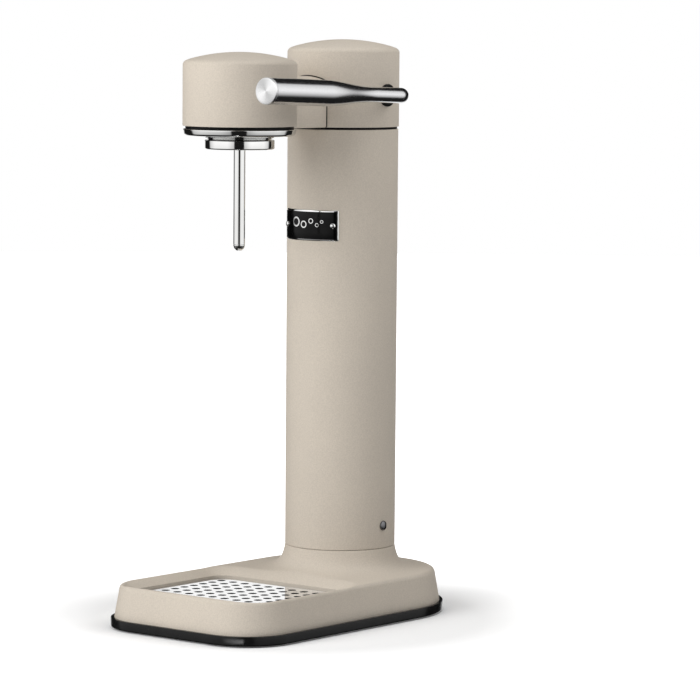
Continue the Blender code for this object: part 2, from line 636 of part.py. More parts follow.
def curved_plate(name, r0, r1, half_angle, z0, z1, mat, steps=12):
    """Plate wrapped round the front of the column."""
    rings = []
    for i in range(steps + 1):
        t = math.radians(-90.0 - half_angle + 2 * half_angle * i / steps)
        corners = ((r0, z0), (r1, z0), (r1, z1), (r0, z1))
        rings.append([(r * math.cos(t), COLUMN_Y + r * math.sin(t), z) for r, z in corners])
    return loft(name, rings, mat)


def make_badge(mats, column):
    low, high = BADGE_Z
    frame = curved_plate("badge_frame", *BADGE_FRAME_R, BADGE_HALF_ANGLE, low, high, mats["polished_steel"])
    plate = curved_plate("badge_plate", *BADGE_PLATE_R, BADGE_HALF_ANGLE - 1.0, low + BADGE_RIM,
                         high - BADGE_RIM, mats["gloss_black"])
    profile = [(0.0, 37.0), (1.0, 37.0), (1.0, 42.0), (2.0, 42.0), (1.5, 42.9), (0.0, 43.2)]
    for word, angle in (("left", -RIVET_ANGLE), ("right", RIVET_ANGLE)):
        radial = at(0.0, COLUMN_Y, (low + high) / 2) @ Matrix.Rotation(math.radians(angle), 4, "Z")
        radial = radial @ Matrix.Rotation(math.radians(90.0), 4, "X")
        hole = rod(f"rivet_hole_cutter_{word}", 1.3, 30.0, 48.0, place=radial, steps=8)
        for piece in (column, frame, plate):
            cut(piece, hole)
        lathe(f"badge_rivet_{word}", profile, mats["polished_steel"], radial, 12)


def main():
    clear_scene()
    mats = make_materials()
    make_base_shell(mats)
    make_base_bottom(mats)
    make_tray(mats)
    column = make_column(mats)
    make_covers(mats)
    make_neck(mats)
    make_cylinder(mats)
    make_valve(mats)
    make_push_pin(mats)
    make_hose(mats)
    make_head_inside(mats)
    make_bottle_seat(mats)
    make_relief_valve(mats)
    make_lever(mats)
    make_badge(mats, column)


main()
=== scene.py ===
"""Looks for the soda carbonator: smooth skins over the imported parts, their surfaces, and the studio.

Sizes are in millimetres unless a name says otherwise, and MM turns them into Blender's metres. The
frame has +Z up, the front facing -Y and the lever on the +X side.
"""

import json
import math

import bmesh
import bpy
from mathutils import Matrix, Vector
from mathutils.geometry import delaunay_2d_cdt


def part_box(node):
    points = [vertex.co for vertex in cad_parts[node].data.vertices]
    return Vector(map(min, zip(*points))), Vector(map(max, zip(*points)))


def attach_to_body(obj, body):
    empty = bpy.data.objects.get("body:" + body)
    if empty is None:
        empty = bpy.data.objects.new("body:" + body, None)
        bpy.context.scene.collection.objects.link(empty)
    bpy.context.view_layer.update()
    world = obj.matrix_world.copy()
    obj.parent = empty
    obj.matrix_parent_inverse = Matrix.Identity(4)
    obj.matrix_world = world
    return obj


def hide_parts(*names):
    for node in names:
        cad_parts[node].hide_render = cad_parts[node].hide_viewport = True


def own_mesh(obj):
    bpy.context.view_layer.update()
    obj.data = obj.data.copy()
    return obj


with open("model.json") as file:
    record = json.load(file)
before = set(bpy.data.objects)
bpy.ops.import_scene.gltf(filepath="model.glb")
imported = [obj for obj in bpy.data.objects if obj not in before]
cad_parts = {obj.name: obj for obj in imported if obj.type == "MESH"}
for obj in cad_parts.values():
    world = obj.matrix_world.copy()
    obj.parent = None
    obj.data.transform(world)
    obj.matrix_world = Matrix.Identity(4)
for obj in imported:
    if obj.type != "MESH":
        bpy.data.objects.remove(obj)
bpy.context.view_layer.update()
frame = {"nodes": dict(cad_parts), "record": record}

MM = 0.001


def span(node):
    """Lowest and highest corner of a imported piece, in millimetres."""
    low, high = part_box(node)
    return low / MM, high / MM


def extent(node):
    """Half width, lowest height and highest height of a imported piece."""
    low, high = span(node)
    return high.x, low.z, high.z


# ---------------- sizes read from the frame

_, BASE_HIGH = span("base_trim")
SHELL_LOW, SHELL_HIGH = span("base_shell")
COLUMN_LOW, COLUMN_HIGH = span("column_tube")
CAP_LOW, CAP_HIGH = span("column_cap")
HEAD_LOW, HEAD_HIGH = span("head_shell")
GRILLE_LOW, GRILLE_HIGH = span("drip_grille")
NECK_LOW, NECK_HIGH = span("neck_bridge")
LEVER_LOW, _ = span("lever")
END_LOW, _ = span("handle_end_cap")
BUSHING_LOW, BUSHING_HIGH = span("axle_bushing_right")

HALF_WIDTH = BASE_HIGH.x
HALF_DEPTH = BASE_HIGH.y
COLUMN_R = COLUMN_HIGH.x
CAP_R = CAP_HIGH.x
COLUMN_Y = (COLUMN_LOW.y + COLUMN_HIGH.y) / 2
HEAD_R = HEAD_HIGH.x
HEAD_Y = (HEAD_LOW.y + HEAD_HIGH.y) / 2
AXLE_Z = (BUSHING_LOW.z + BUSHING_HIGH.z) / 2

# ---------------- sizes of details

CORNER_FRONT = 38.0
CORNER_BACK = 72.0
WALL_INSET = 2.0  # the shell's foot, inside the trim
WALL_LEAN = 0.1744  # inward lean of the shell's side per millimetre of height
LIP_TOP = 31.0
LIP_FILLET = 3.6
OUTER_ANGLE = 27.0  # round the lip's fillet, where the top's mesh hands over to the wall's
FLARE_END_R = 62.0
FLARE_SOFTNESS = 4.2  # the smaller, the tighter the curve beside the column
COLUMN_WALL = 1.5
RECESS_HALF_X = 59.5
RECESS_HALF_Y = 51.5
RECESS_CORNER = 13.0
RECESS_EDGE_Z = 25.6
RECESS_FLOOR_Z = 11.0
EDGE_FILLET = 0.35
SLOPE = 0.6  # rise per millimetre from the recess up to the lip
SLOPE_END = 9.0
GRILLE_SOFT = 0.08  # chamfer on the plate and its holes
HOLES_X, HOLES_Y = 10, 9
HOLE_PITCH_X, HOLE_PITCH_Y = 11.1, 10.05
HOLE_R = 3.0
DOME_R = 128.0
DOME_EDGE = 3.5
LID_WALL = 1.7
LEVER_X = 57.8
LEVER_RISE = 0.0342
ROD_R = 5.5
HANDLE_R = 9.2
BEND_R = 9.0
TAPER_END_Y, TAPER_LENGTH = -34.0, 52.0
END_DISC_DEPTH = 2.0
BUSHING_BORE_R, BUSHING_INNER_X = 5.0, 25.0
FLANGE_TOP = 351.7  # top of the rim, below the open seam under the head
FLANGE_BORE_R, FLANGE_NECK_R = 22.4, 37.5
COLLAR_RIM_TOP = 344.0
COLLAR_BORE_R, COLLAR_NECK_R = 20.6, 22.0
NOZZLE_BORE_R, TIP_BORE_R = 2.6, 0.6
NECK_CROWN_R = 36.0
NECK_CORNER_R = 4.5
NECK_FOOT_R = 1.2
NECK_SEAM = 0.8
SEAM_SHADE_CROWN = 0.6  # how far the painted shade of the seam reaches above the neck's crown
BADGE_HALF_ANGLE = 36.0
BADGE_FRAME_R = 40.9
BADGE_PLATE_R = 41.7
BADGE_RIM, BADGE_RIM_Z = 1.3, 1.4  # how much of the frame shows at the sides, and above and below
BUBBLES = (  # round from the middle, up from the middle, radius
    (-9.0, 2.2, 3.6),
    (-1.6, 0.6, 2.6),
    (4.6, 3.2, 1.9),
    (9.4, 0.4, 1.4),
    (13.0, 2.8, 1.2),
)
RIVET_ANGLE = 30.0
RIVET_R = 2.0
CAMERA_PLACE_MM = (1703.976, -2029.617, 435.992)
CAMERA_YAW = math.radians(39.101)
CAMERA_PITCH = math.radians(5.2356)
CAMERA_ROLL = math.radians(0.4448)
LENS = 191.58


# ---------------- meshes

def at(x, y, z=0.0):
    return Matrix.Translation((x, y, z))


def turned(degrees, axis):
    return Matrix.Rotation(math.radians(degrees), 4, axis)


ON_COLUMN = at(0.0, COLUMN_Y)
ON_HEAD = at(0.0, HEAD_Y)


def new_object(name, data):
    obj = bpy.data.objects.new(name, data)
    bpy.context.scene.collection.objects.link(obj)
    return obj


def add_object(name, bm, mat, place=None, sharp=40.0):
    """Object in metres from a bmesh in millimetres, which stays in the frame of its place."""
    bmesh.ops.remove_doubles(bm, verts=bm.verts, dist=0.0005)
    bmesh.ops.recalc_face_normals(bm, faces=bm.faces)
    bmesh.ops.scale(bm, vec=(MM, MM, MM), verts=bm.verts)
    mesh = bpy.data.meshes.new(name)
    bm.to_mesh(mesh)
    bm.free()
    mesh.materials.append(mat)
    mesh.shade_smooth()
    mesh.set_sharp_from_angle(angle=math.radians(sharp))
    obj = new_object(name, mesh)
    if place:
        obj.matrix_world = Matrix.Translation(place.to_translation() * MM) @ place.to_3x3().to_4x4()
    return obj


def attach(obj, slot, *nodes, body="housing"):
    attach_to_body(obj, body)
    if nodes:
        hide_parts(*nodes)
    return obj


def rounded(corners, closed=True, steps=6):
    """Outline with filleted corners, from (x, y, radius) or (x, y) corners."""
    points = []
    count = len(corners)
    for i, corner in enumerate(corners):
        here = Vector(corner[:2])
        radius = corner[2] if len(corner) > 2 else 0.0
        if radius == 0.0 or (not closed and i in (0, count - 1)):
            points.append(tuple(here))
            continue
        before = (Vector(corners[i - 1][:2]) - here).normalized()
        after = (Vector(corners[(i + 1) % count][:2]) - here).normalized()
        half = before.angle(after) / 2
        reach = radius / math.tan(half)
        start, end = here + before * reach, here + after * reach
        centre = here + (before + after).normalized() * radius / math.sin(half)
        sweep_angle = (start - centre).angle_signed(end - centre)
        for k in range(steps + 1):
            turn = Matrix.Rotation(-sweep_angle * k / steps, 2)
            points.append(tuple(centre + turn @ (start - centre)))
    return points


def lathe(name, profile, mat, place=None, steps=160):
    """Spin an outline of (radius, height) points round the local Z axis."""
    bm = bmesh.new()
    verts = [bm.verts.new((max(r, 0.0), 0.0, z)) for r, z in profile]
    pairs = zip(verts, verts[1:] + verts[:1])
    edges = [bm.edges.new(pair) for pair in pairs if any(v.co.x > 1e-6 for v in pair)]
    bmesh.ops.spin(bm, geom=verts + edges, cent=(0, 0, 0), axis=(0, 0, 1), angle=math.tau,
                   steps=steps, use_merge=True)
    return add_object(name, bm, mat, place)


def skin(bm, loops, cap_first=False, cap_last=False, closed=False):
    """Quads between successive loops that have equal counts."""
    made = [[bm.verts.new(p) for p in loop] for loop in loops]
    pairs = list(zip(made, made[1:]))
    if closed:
        pairs.append((made[-1], made[0]))
    for a, b in pairs:
        for i in range(len(a)):
            j = (i + 1) % len(a)
            bm.faces.new((a[i], a[j], b[j], b[i]))
    if cap_first:
        bm.faces.new(made[0])
    if cap_last:
        bm.faces.new(made[-1])


def loft(name, loops, mat, cap=True, closed=False, place=None, sharp=40.0):
    bm = bmesh.new()
    skin(bm, loops, cap, cap, closed)
    return add_object(name, bm, mat, place, sharp)


def arc(cx, cy, radius, start, end, steps):
    angles = [math.radians(start + (end - start) * i / steps) for i in range(steps + 1)]
    return [(cx + radius * math.cos(t), cy + radius * math.sin(t)) for t in angles]


def resample(loop, spacing, like=None):
    """Points along a closed loop, at about even spacing, that keep its corners.

    Loops of one family share the spacing of the loop they are like, so their points correspond.
    """
    points = []
    like = like or loop
    pairs = zip(loop, loop[1:] + loop[:1], like, like[1:] + like[:1])
    for a, b, c, d in pairs:
        gap = math.dist(c, d)
        if gap < 1e-6:
            continue
        count = max(1, round(gap / spacing))
        for k in range(count):
            points.append((a[0] + (b[0] - a[0]) * k / count, a[1] + (b[1] - a[1]) * k / count))
    return points


def rounded_box(half_x, front, back, r_front, r_back, steps_front=20, steps_back=36):
    loop = arc(half_x - r_front, front + r_front, r_front, -90, 0, steps_front)
    loop += arc(half_x - r_back, back - r_back, r_back, 0, 90, steps_back)
    loop += arc(r_back - half_x, back - r_back, r_back, 90, 180, steps_back)
    loop += arc(r_front - half_x, front + r_front, r_front, 180, 270, steps_front)
    return loop


def base_loop(inset, spacing=2.5):
    def outline(i):
        back = HALF_DEPTH - i
        return rounded_box(HALF_WIDTH - i, -back, back, CORNER_FRONT - i, CORNER_BACK - i)
    return resample(outline(inset), spacing, outline(0.0))


def recess_loop(offset, spacing=2.0):
    def outline(i):
        corner = RECESS_CORNER + i
        front, back = HEAD_Y - RECESS_HALF_Y - i, HEAD_Y + RECESS_HALF_Y + i
        return rounded_box(RECESS_HALF_X + i, front, back, corner, corner, 12, 12)
    return resample(outline(offset), spacing, outline(0.0))


def raised(loop, z):
    return [(x, y, z) for x, y in loop]


def flat_mesh(bm, loops, extra, inside, height):
    """Triangles over a region bounded by closed loops, with extra points, at height(x, y)."""
    points, edges = [], []
    for loop in loops:
        first = len(points)
        points += loop
        edges += [(first + i, first + (i + 1) % len(loop)) for i in range(len(loop))]
    points += extra
    coords, _, faces, *_ = delaunay_2d_cdt([Vector(p) for p in points], edges, [], 0, 1e-5)
    verts = [bm.verts.new((p.x, p.y, height(p.x, p.y))) for p in coords]
    for face in faces:
        middle = sum((coords[i] for i in face), Vector((0.0, 0.0))) / len(face)
        if inside(middle.x, middle.y):
            bm.faces.new([verts[i] for i in face])
    for vert in [v for v in verts if not v.link_faces]:
        bm.verts.remove(vert)


# ---------------- materials

def srgb(r, g, b):
    def linear(c):
        c /= 255.0
        return c / 12.92 if c <= 0.04045 else ((c + 0.055) / 1.055) ** 2.4
    return (linear(r), linear(g), linear(b))


def grey(level):
    return (level, level, level)


def tint(colour, factor):
    return tuple(c * factor for c in colour)


def math_node(tree, operation, *values):
    node = tree.nodes.new("ShaderNodeMath")
    node.operation = operation
    for socket, value in zip(node.inputs, values):
        if hasattr(value, "default_value"):
            tree.links.new(value, socket)
        else:
            socket.default_value = value
    return node.outputs["Value"]


def vector_node(tree, operation, vector):
    node = tree.nodes.new("ShaderNodeVectorMath")
    node.operation = operation
    tree.links.new(vector, node.inputs[0])
    return node


def map_range(tree, source, start, end, low, high):
    node = tree.nodes.new("ShaderNodeMapRange")
    for key, value in (("From Min", start), ("From Max", end), ("To Min", low), ("To Max", high)):
        node.inputs[key].default_value = value
    tree.links.new(source, node.inputs["Value"])
    return node


class Surface:
    """A Principled material and the small set of node recipes used on it."""

    def __init__(self, name, **values):
        self.mat = bpy.data.materials.new(name)
        self.mat.use_nodes = True
        self.tree = self.mat.node_tree
        self.nodes = self.tree.nodes
        self.shader = self.nodes["Principled BSDF"]
        for key, value in values.items():
            self.shader.inputs[key.replace("_", " ")].default_value = value
        self.coords = self.nodes.new("ShaderNodeTexCoord")

    def link(self, a, b):
        self.tree.links.new(a, b)

    def place(self, stretch):
        mapping = self.nodes.new("ShaderNodeMapping")
        mapping.inputs["Scale"].default_value = stretch
        self.link(self.coords.outputs["Object"], mapping.inputs["Vector"])
        return mapping.outputs["Vector"]

    def noise(self, per_metre, detail=3.0, stretch=(1.0, 1.0, 1.0), rough=0.5):
        node = self.nodes.new("ShaderNodeTexNoise")
        node.inputs["Scale"].default_value = per_metre
        node.inputs["Detail"].default_value = detail
        node.inputs["Roughness"].default_value = rough
        self.link(self.place(stretch), node.inputs["Vector"])
        return node.outputs["Fac"]

    def cells(self, per_metre):
        node = self.nodes.new("ShaderNodeTexVoronoi")
        node.inputs["Scale"].default_value = per_metre
        self.link(self.place((1.0, 1.0, 1.0)), node.inputs["Vector"])
        return node.outputs["Distance"]

    def remap(self, source, low, high, start=0.3, end=0.7):
        return map_range(self.tree, source, start, end, low, high).outputs["Result"]

    def blend(self, source, first, second, start=0.3, end=0.7):
        node = self.nodes.new("ShaderNodeValToRGB")
        stops = zip(node.color_ramp.elements, (start, end), (first, second))
        for element, position, colour in stops:
            element.position = position
            element.color = (*colour, 1.0)
        self.link(source, node.inputs["Fac"])
        return node.outputs["Color"]

    def multiply(self, a, b):
        node = self.nodes.new("ShaderNodeMix")
        node.data_type = "RGBA"
        node.blend_type = "MULTIPLY"
        node.inputs["Factor"].default_value = 1.0
        self.link(a, node.inputs["A"])
        self.link(b, node.inputs["B"])
        return node.outputs["Result"]

    def add(self, a, b, share):
        return math_node(self.tree, "MULTIPLY_ADD", b, share, a)

    def colour(self, socket):
        self.link(socket, self.shader.inputs["Base Color"])

    def roughness(self, socket):
        self.link(socket, self.shader.inputs["Roughness"])

    def bump(self, height, strength, distance_mm):
        node = self.nodes.new("ShaderNodeBump")
        node.inputs["Strength"].default_value = strength
        node.inputs["Distance"].default_value = distance_mm * MM
        self.link(height, node.inputs["Height"])
        self.link(node.outputs["Normal"], self.shader.inputs["Normal"])

    def around(self, axis):
        node = self.nodes.new("ShaderNodeTangent")
        node.direction_type = "RADIAL"
        node.axis = axis
        self.link(node.outputs["Tangent"], self.shader.inputs["Tangent"])


def powder_coat(name, shade=1.0):
    """Fine matt sand paint: tiny grains, faint clouds and a slight orange peel."""
    # A shade below 1 makes a darker copy of the coat: painted shade, used in the base's recess.
    sand = tint(srgb(208, 198, 184), shade)
    s = Surface(name, Specular_IOR_Level=0.14)
    grain = s.noise(1100.0, 3.0)
    clouds = s.noise(26.0, 4.0)
    fine = s.blend(grain, tint(sand, 0.95), tint(sand, 1.05), 0.36, 0.64)
    broad = s.blend(clouds, (0.965, 0.965, 0.97), grey(1.0))
    s.colour(s.multiply(fine, broad))
    s.roughness(s.remap(s.noise(700.0, 2.0), 0.5, 0.62))
    s.bump(s.add(grain, s.cells(950.0), 0.35), 0.25, 0.05)
    return s.mat


def moulded_black(name, shade, low, high, gloss=0.5):
    """Black moulding with fine texture and slightly uneven gloss."""
    s = Surface(name, Specular_IOR_Level=gloss)
    s.colour(s.blend(s.noise(90.0, 4.0), grey(shade), grey(shade * 1.7)))
    s.roughness(s.remap(s.noise(260.0, 5.0), low, high))
    s.bump(s.noise(1800.0, 2.0), 0.12, 0.03)
    return s.mat


def polished_metal(name, colour, low, high):
    """Polished metal with faint smears and hairlines."""
    s = Surface(name, Metallic=1.0)
    s.colour(s.blend(s.noise(60.0, 4.0), tint(colour, 0.96), colour))
    s.roughness(s.remap(s.noise(150.0, 6.0, rough=0.65), low, high))
    s.bump(s.noise(900.0, 3.0, (1.0, 1.0, 6.0)), 0.012, 0.01)
    return s.mat


def turned_metal(name, colour, low, high, axis, stretch, gloss=0.5):
    """Metal turned or brushed round its axis: fine lines and a highlight drawn out across them."""
    s = Surface(name, Metallic=1.0, Anisotropic=gloss)
    lines = s.noise(2600.0, 4.0, stretch, 0.7)
    s.colour(s.blend(lines, tint(colour, 0.9), colour))
    s.roughness(s.remap(lines, low, high))
    s.bump(lines, 0.06, 0.01)
    s.around(axis)
    return s.mat


def grille_metal():
    """Bright rolled plate whose faint dishing lifts what it mirrors above the rim of the base."""
    s = Surface("grille_steel", Metallic=0.75)
    s.colour(s.blend(s.noise(60.0, 4.0), grey(0.9), grey(0.95)))
    s.roughness(s.remap(s.noise(150.0, 5.0), 0.03, 0.07))
    tree = s.tree
    geometry = s.nodes.new("ShaderNodeNewGeometry")
    lean = vector_node(tree, "ADD", geometry.outputs["Normal"])
    to_front = Vector((math.sin(CAMERA_YAW), -math.cos(CAMERA_YAW), 0.0))
    lean.inputs[1].default_value = GRILLE_LEAN * to_front
    unit = vector_node(tree, "NORMALIZE", lean.outputs["Vector"])
    s.link(unit.outputs["Vector"], s.shader.inputs["Normal"])
    return s.mat


def turned_end():
    """Faced end of a bar: rings round the centre, with pale and dark wedges of painted highlight in its
    colour.
    """
    s = Surface("end_steel_painted_glints", Metallic=1.0, Anisotropic=0.6)
    parts = s.nodes.new("ShaderNodeSeparateXYZ")
    s.link(s.coords.outputs["Object"], parts.inputs[0])
    tree = s.tree
    angle = math_node(tree, "ARCTAN2", parts.outputs["Y"], parts.outputs["X"])
    # Pale and dark wedges by angle round the disc: painted highlight in the colour.
    painted_glint_wedges = math_node(tree, "SINE", math_node(tree, "MULTIPLY_ADD", angle, 2.0, PAINTED_WEDGE_TURN))
    lines = s.noise(2200.0, 3.0, (1.0, 1.0, 0.3), 0.7)
    lines_and_painted_glints = s.add(painted_glint_wedges, lines, 0.5)
    lines_and_glint_share = s.remap(lines_and_painted_glints, 0.0, 1.0, -1.0, 1.6)
    s.colour(s.blend(lines_and_glint_share, grey(0.5), grey(0.86), 0.1, 0.9))
    s.roughness(s.remap(lines, 0.2, 0.34))
    s.bump(lines, 0.06, 0.01)
    s.around("Z")
    return s.mat


def rubber():
    s = Surface("rubber", Specular_IOR_Level=0.3)
    s.colour(s.blend(s.noise(120.0, 4.0), grey(0.018), (0.035, 0.034, 0.033)))
    s.roughness(s.remap(s.noise(400.0, 3.0), 0.7, 0.9))
    s.bump(s.noise(1500.0, 3.0), 0.3, 0.05)
    return s.mat


def enamel():
    s = Surface("black_enamel", Specular_IOR_Level=0.12, Coat_Weight=0.04, Coat_Roughness=0.04)
    s.colour(s.blend(s.noise(180.0, 3.0), grey(0.001), grey(0.003)))
    s.roughness(s.remap(s.noise(300.0, 5.0), 0.08, 0.2))
    s.bump(s.noise(500.0, 2.0), 0.04, 0.02)
    return s.mat


def cylinder_paint():
    s = Surface("cylinder_paint", Metallic=0.35, Coat_Weight=0.3)
    paint = srgb(150, 154, 160)
    s.colour(s.blend(s.noise(700.0, 3.0), tint(paint, 0.9), paint))
    s.roughness(s.remap(s.noise(60.0, 5.0), 0.3, 0.48))
    s.bump(s.noise(500.0, 2.0), 0.15, 0.03)
    return s.mat


def hose_plastic():
    s = Surface("hose_plastic", Subsurface_Weight=0.2)
    s.colour(s.blend(s.noise(160.0, 3.0), srgb(196, 200, 200), srgb(214, 217, 216)))
    s.roughness(s.remap(s.noise(300.0, 3.0), 0.35, 0.55))
    s.bump(s.noise(800.0, 2.0), 0.1, 0.03)
    return s.mat


GRILLE_LEAN = 0.157  # how far the plate's normal leans to the front
PAINTED_WEDGE_TURN = 0.4  # turn of the painted highlight wedges on the end disc, in radians
STEEL = (0.80, 0.80, 0.79)
GREY_STEEL = (0.62, 0.61, 0.60)
ALONG_AXLE = (0.06, 1.0, 1.0)

LOOKS = {
    "sand_coat": powder_coat("sand_powder_coat"),
    # The recess's copy of the coat is darker: painted shade on the recess wall and floor.
    "recess_painted_shade": powder_coat("shaded_recess_powder_coat", 0.8),
    "black_plastic": moulded_black("black_moulding", 0.012, 0.3, 0.42),
    "trim_plastic": moulded_black("trim_moulding", 0.006, 0.12, 0.2, 0.2),
    # Also used for the dark seam rings, where it is painted shade.
    "bushing_and_seam_shade_black": moulded_black("bushing_and_seam_shade_moulding", 0.003, 0.4, 0.55, 0.12),
    "rubber": rubber(),
    "polished_steel": polished_metal("polished_steel", STEEL, 0.03, 0.09),
    "grille_steel": grille_metal(),
    # Dark walls of the grille's holes: painted shade inside the holes.
    "hole_wall_painted_shade": moulded_black("hole_wall_painted_shade", 0.02, 0.3, 0.5, 0.1),
    "handle_steel": turned_metal("handle_steel", (0.8, 0.8, 0.81), 0.12, 0.2, "Y", (1.0, 0.5, 1.0), 0.0),
    "end_steel_painted_glints": turned_end(),
    "brushed_steel": turned_metal("brushed_steel", GREY_STEEL, 0.25, 0.38, "X", ALONG_AXLE, 0.3),
    "screw_steel": polished_metal("screw_steel", (0.16, 0.16, 0.165), 0.08, 0.16),
    "brass": polished_metal("brass", (0.72, 0.53, 0.25), 0.18, 0.34),
    "gloss_black": enamel(),
    "cylinder_paint": cylinder_paint(),
    "hose": hose_plastic(),
    "spring_steel": polished_metal("spring_steel", (0.5, 0.5, 0.52), 0.2, 0.34),
}


def turned_piece(node, profile, look, slot, place, steps, name=None, body="housing"):
    """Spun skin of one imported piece."""
    obj = lathe(name or f"{node}_skin", profile, LOOKS[look], place, steps)
    attach(obj, slot, node, body=body)


# ---------------- base

def flare_height(r):
    """Height of the base's top at a distance from the column's axis."""
    def fall(radius):
        return (1.0 + (radius - COLUMN_R) / FLARE_SOFTNESS) ** -1.5
    if r <= COLUMN_R:
        return SHELL_HIGH.z
    end = fall(FLARE_END_R)
    return LIP_TOP + (SHELL_HIGH.z - LIP_TOP) * max(0.0, (fall(r) - end) / (1.0 - end))


def inside_by(x, y):
    """How far a point is inside the base's outline."""
    corner = CORNER_BACK if y > 0.0 else CORNER_FRONT
    qx = abs(x) - (HALF_WIDTH - corner)
    qy = (y if y > 0.0 else -y) - (HALF_DEPTH - corner)
    return corner - math.hypot(max(qx, 0.0), max(qy, 0.0)) - min(max(qx, qy), 0.0)


def outside_recess_by(x, y):
    qx = abs(x) - (RECESS_HALF_X - RECESS_CORNER)
    qy = abs(y - HEAD_Y) - (RECESS_HALF_Y - RECESS_CORNER)
    return math.hypot(max(qx, 0.0), max(qy, 0.0)) + min(max(qx, qy), 0.0) - RECESS_CORNER


def soft_min(a, b, width):
    h = max(width - abs(a - b), 0.0) / width
    return min(a, b) - h * h * width / 4


# the fillet between the leaning side wall and the lip
LEAN = math.atan(WALL_LEAN)
CORNER_INSET = WALL_INSET + WALL_LEAN * (LIP_TOP - SHELL_LOW.z)
FILLET_INSET = CORNER_INSET + LIP_FILLET * math.tan((math.pi / 2 - LEAN) / 2)
FILLET_Z = LIP_TOP - LIP_FILLET


def fillet_point(angle):
    t = math.radians(angle)
    return FILLET_INSET - LIP_FILLET * math.cos(t), FILLET_Z + LIP_FILLET * math.sin(t)


def top_height(x, y):
    out = flare_height(math.hypot(x, y - COLUMN_Y))
    inset = inside_by(x, y)
    if inset < FILLET_INSET:
        out += math.sqrt(max(LIP_FILLET ** 2 - (FILLET_INSET - inset) ** 2, 0.0)) - LIP_FILLET
    away = outside_recess_by(x, y)
    slope = RECESS_EDGE_Z + SLOPE * away + 0.25 * max(away - SLOPE_END, 0.0) ** 2
    return soft_min(out, slope, 1.6)


def recess_edge(steps=5):
    """Fillet between the recess wall and the slope, as (offset, height) points from the wall up."""
    tilt = math.atan(SLOPE)
    reach = EDGE_FILLET * math.tan((math.pi / 2 - tilt) / 2)
    points = []
    for i in range(steps + 1):
        t = (math.pi / 2 - tilt) * i / steps
        points.append((EDGE_FILLET * (1 - math.cos(t)), RECESS_EDGE_Z - reach + EDGE_FILLET * math.sin(t)))
    return points


# radii of the mesh rings round the column, closer together where the flare curves more
FLARE_RINGS = (40.1, 40.22, 40.36, 40.52, 40.7, 40.95, 41.25, 41.6, 42.05, 42.6, 43.3, 44.1, 45.1,
               46.3, 47.7, 49.3, 51.1, 53.1, 55.4, 58.0, 61.0)
FILL_PITCH = 2.4
FILL_ROWS, FILL_COLS = 110, 64


def top_points(inner):
    """Points that follow each curved feature of the base's top, and fill between them."""
    extra = []
    for k, radius in enumerate(FLARE_RINGS):
        start = 0.5 * (k % 2)
        ring = [(x, y + COLUMN_Y) for x, y in arc(0.0, 0.0, radius, start, 359.0 + start, 359)]
        extra += [p for p in ring if outside_recess_by(*p) > 4.5 and inside_by(*p) > 9.0]
    for step in range(1, 8):
        offset = inner + step * 0.6
        extra += [p for p in recess_loop(offset) if inside_by(*p) > FILLET_INSET - 2.0]
    for angle in (34, 41, 48, 55, 62, 70, 80):
        loop = base_loop(fillet_point(angle)[0], 2.2)
        extra += [p for p in loop if outside_recess_by(*p) > 5.3]
    for row in range(FILL_ROWS):
        for col in range(FILL_COLS):
            x = (col - (FILL_COLS - 1) / 2 + 0.5 * (row % 2)) * FILL_PITCH
            y = (row - FILL_ROWS / 2) * FILL_PITCH
            clear = math.hypot(x, y - COLUMN_Y) > FLARE_END_R + 0.5 or y < 3.0
            if clear and outside_recess_by(x, y) > 5.6 and inside_by(x, y) > 9.6:
                extra.append((x, y))
    return extra


def make_base_shell():
    edge = recess_edge()
    inner, outer = edge[-1][0], fillet_point(OUTER_ANGLE)[0]
    bm = bmesh.new()
    bore_r = COLUMN_R - COLUMN_WALL

    def circle(radius):
        return [(x, y + COLUMN_Y) for x, y in arc(0.0, 0.0, radius, 0, 360, 180)[:-1]]

    def inside(x, y):
        past_bore = math.hypot(x, y - COLUMN_Y) > bore_r
        return past_bore and inside_by(x, y) > outer and outside_recess_by(x, y) > inner

    bore = circle(bore_r)
    borders = [recess_loop(inner), base_loop(outer), bore, circle(COLUMN_R - 0.3)]
    flat_mesh(bm, borders, top_points(inner), inside, top_height)
    recess_wall = [(0.0, RECESS_FLOOR_Z), (0.0, 18.0)] + edge
    skin(bm, [raised(recess_loop(offset), z) for offset, z in recess_wall])
    wall = [fillet_point(a) for a in (OUTER_ANGLE, 22.0, 16.0, math.degrees(LEAN))]
    foot = SHELL_LOW.z
    wall += [(WALL_INSET + WALL_LEAN * (z - foot), z) for z in (22.0, 15.0, foot + 0.5)]
    wall += [(WALL_INSET + 0.25, foot + 0.1), (WALL_INSET + 0.6, foot), (WALL_INSET + 3.0, foot),
             (WALL_INSET + 3.2, foot + 6.0)]
    skin(bm, [raised(base_loop(inset), z) for inset, z in wall])
    floor = [bm.verts.new((x, y, RECESS_FLOOR_Z)) for x, y in recess_loop(0.0)]
    bm.faces.new(floor)
    skin(bm, [raised(bore, SHELL_HIGH.z), raised(bore, SHELL_HIGH.z - 24.0)])
    obj = add_object("base_shell_skin", bm, LOOKS["sand_coat"])
    # Faces in the recess get the darker coat: painted shade on its wall and floor.
    obj.data.materials.append(LOOKS["recess_painted_shade"])
    for face in obj.data.polygons:
        x, y, z = face.center / MM
        in_recess_shade = outside_recess_by(x, y) < EDGE_FILLET and z < RECESS_EDGE_Z
        face.material_index = 1 if in_recess_shade else 0
    attach(obj, "sand_coat", "base_shell")


def make_trim():
    top = BASE_HIGH.z
    profile = rounded([(0.0, 0.6, 1.5), (0.0, top, 0.45), (5.8, top), (5.8, 0.6)])
    loops = [raised(base_loop(inset, 2.0), z) for inset, z in profile]
    obj = loft("base_trim_skin", loops, LOOKS["trim_plastic"], cap=False, closed=True, sharp=50.0)
    attach(obj, "black_plastic", "base_trim")


